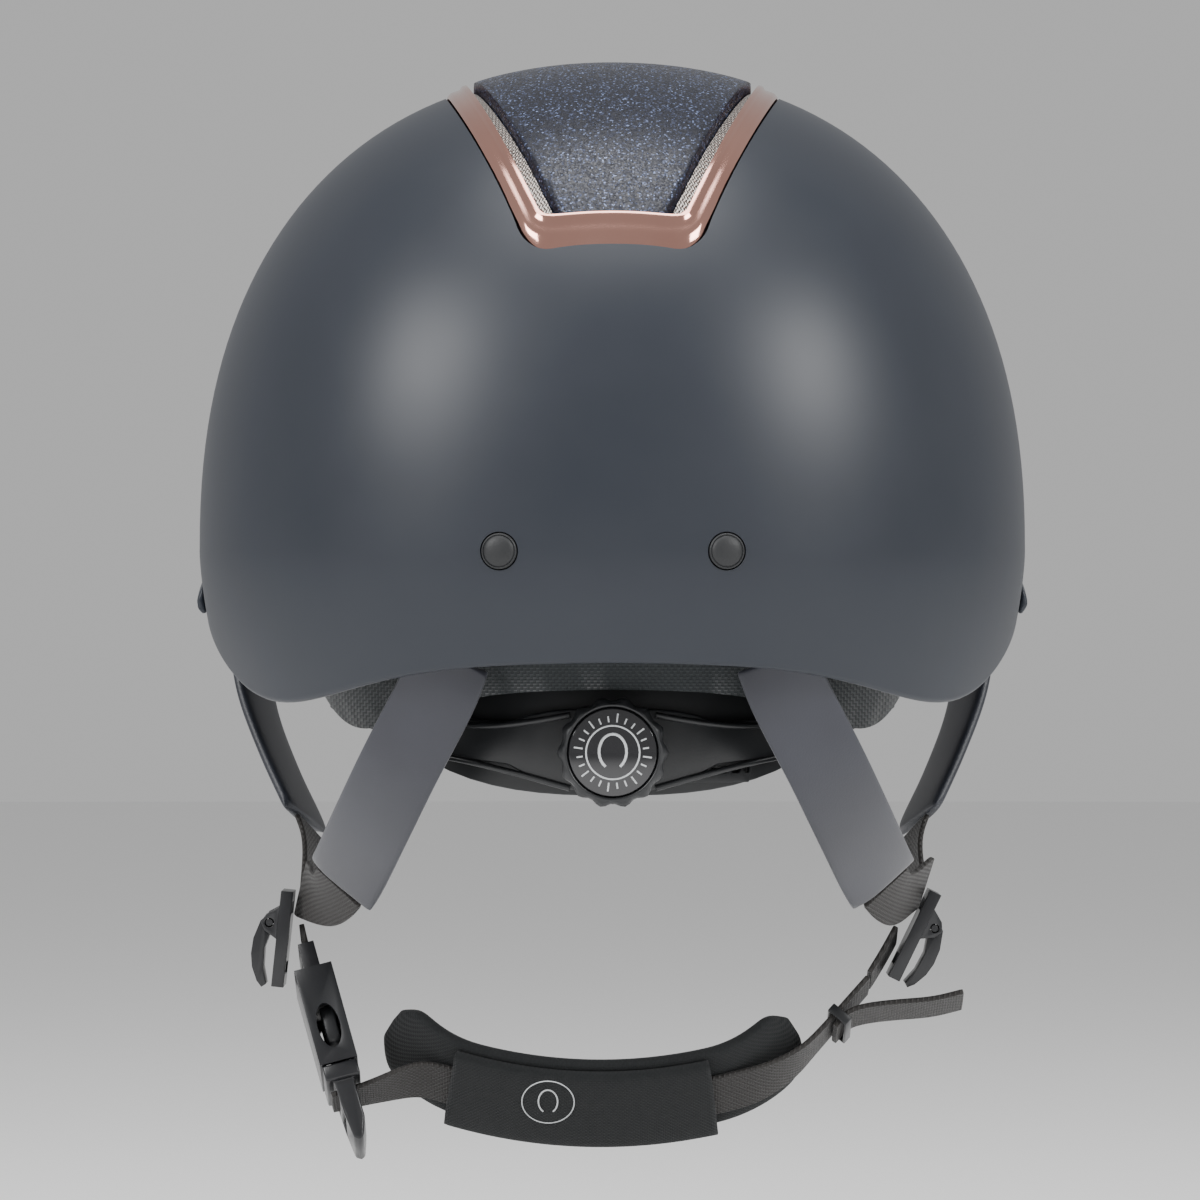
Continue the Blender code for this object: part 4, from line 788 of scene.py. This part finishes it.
# ---------------------------------------------------------------- rear and front straps
# The rear straps are slate-grey satin microfibre; the front ones are padded sleeves. Brown-black
# webbing comes out of each and is threaded into the dividers.
microfibre = grained("slate_microfibre", (0.019, 0.020, 0.030), (0.028, 0.030, 0.042), (0.36, 0.52),
                     2200.0, 0.35, 0.00012, Sheen_Weight=0.25)
sleeve_leather = grained("black_sleeve", (0.016, 0.018, 0.024), (0.030, 0.033, 0.043), (0.38, 0.52),
                         1500.0, 0.4, 0.0002)
for side, hand in ((-1, "left"), (1, "right")):
    strap = softened(f"satin_strap_{hand}", f"rear_strap_{hand}", microfibre)
    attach(strap, "helmet")
    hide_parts(f"rear_strap_{hand}")
    sleeve = softened(f"padded_sleeve_{hand}", f"front_sleeve_{hand}", sleeve_leather)
    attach(sleeve, "helmet")
    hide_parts(f"front_sleeve_{hand}")
    web = woven(f"webbing_{hand}", (0.005, 0.0042, 0.0038), (0.021, 0.018, 0.016), 0.0007,
                (60, side * 25, 0), 0.6, 0.6, 0.1)
    for end in ("rear", "front"):
        tape = softened(f"tape_{end}_{hand}", f"{end}_webbing_{hand}", web, 2, 50, 0.8)
        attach(tape, "helmet")
        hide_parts(f"{end}_webbing_{hand}")


# ---------------------------------------------------------------- dividers
# Cam-lock dividers of black acetal: a slotted plate with two ears, a pin and a lever. The real pin is
# steel, but here it is drawn in the same black acetal.
acetal = grained("black_acetal", (0.012, 0.012, 0.014), (0.020, 0.021, 0.023), (0.25, 0.36), 1200.0,
                 0.2, 0.0001)
for hand in ("left", "right"):
    for name, node, body in ((f"divider_plate_{hand}", f"divider_base_{hand}", "helmet"),
                             (f"divider_cam_{hand}", f"divider_lever_{hand}", f"divider_lever_{hand}")):
        part = rounded(name, node, acetal, 0.0004)
        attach(part, body)
        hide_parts(node)
    for material_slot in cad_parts[f"divider_pin_{hand}"].material_slots:
        material_slot.material = acetal


# ---------------------------------------------------------------- side-release buckle
# A black acetal buckle: a hollow female half with side windows, and a male half whose two
# sprung prongs show in them.
for name, node, body in (("buckle_socket", "buckle_female", "chin_loop"),
                         ("buckle_plug", "buckle_male", "chin_strap"),
                         ("release_prong_rear", "prong_rear", "prong_rear"),
                         ("release_prong_front", "prong_front", "prong_front")):
    part = rounded(name, node, acetal, 0.0005)
    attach(part, body)
    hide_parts(node)


# ---------------------------------------------------------------- chin strap, keeper and pad
# Woven webbing under the chin, held to a padded neoprene rest by a neoprene sleeve;
# its tail is held by a small wire-like keeper.
chin_web = woven("chin_webbing", (0.005, 0.0042, 0.0038), (0.021, 0.018, 0.016), 0.0007,
                 (20, 0, 0), 0.6, 0.6, 0.1)
for name, node, body in (("buckle_loop", "buckle_tab", "chin_loop"),
                         ("strap_loop", "strap_tab_right", "chin_loop"),
                         ("chin_tape", "chin_webbing", "chin_strap"),
                         ("chin_tape_tail", "chin_tail", "chin_strap")):
    tape = softened(name, node, chin_web, 2, 50, 0.8)
    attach(tape, body)
    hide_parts(node)

keeper = rounded("wire_keeper", "strap_keeper", nylon, 0.0003)
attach(keeper, "strap_keeper")
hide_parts("strap_keeper")

neoprene = woven("black_neoprene", (0.002, 0.003, 0.0034), (0.006, 0.0075, 0.0085), 0.0006, (20, 0, 0),
                 0.92, 0.35, 0.08)
pad = softened("chin_rest", "chin_pad", neoprene)
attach(pad, "chin_pad")
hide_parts("chin_pad")
pad_sleeve = softened("chin_rest_sleeve", "chin_pad_sleeve", neoprene, 2, 50, 0.9)
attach(pad_sleeve, "chin_pad")
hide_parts("chin_pad_sleeve")

# A thin white oval with a plain horseshoe in it, printed on the sleeve's outer face.
SLEEVE_MARK = (0.0068, 0.0058)           # half-sizes, along and across the strap
MARK_AT = Vector((-0.0085, -0.0005))     # along and across, from the sleeve's middle
MARK_STAND = 0.00004


sleeve_low, sleeve_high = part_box("chin_pad_sleeve")
bpy.context.view_layer.update()
sleeve_skin = BVHTree.FromObject(pad_sleeve, bpy.context.evaluated_depsgraph_get())
sleeve_middle = (sleeve_low + sleeve_high) / 2


def on_sleeve(along, across):
    """A point on the sleeve's rear face, reached by a ray that runs straight forward."""
    start = Vector((sleeve_middle.x + MARK_AT.x + along, sleeve_low.y - 0.02,
                    sleeve_middle.z + MARK_AT.y + across))
    spot, normal, _, _ = sleeve_skin.ray_cast(start, Vector((0, 1, 0)))
    return spot + normal * MARK_STAND


oval = [on_sleeve(SLEEVE_MARK[0] * sin(2 * pi * k / 48), SLEEVE_MARK[1] * cos(2 * pi * k / 48))
        for k in range(48)]
sleeve_marks = [swept("sleeve_oval", oval, 0.00016, print_white, True, 2),
                swept("sleeve_horseshoe", horseshoe(on_sleeve, 0.0032), 0.00022, print_white, False, 2)]
sleeve_print = joined("sleeve_print", sleeve_marks)
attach(sleeve_print, "chin_pad")
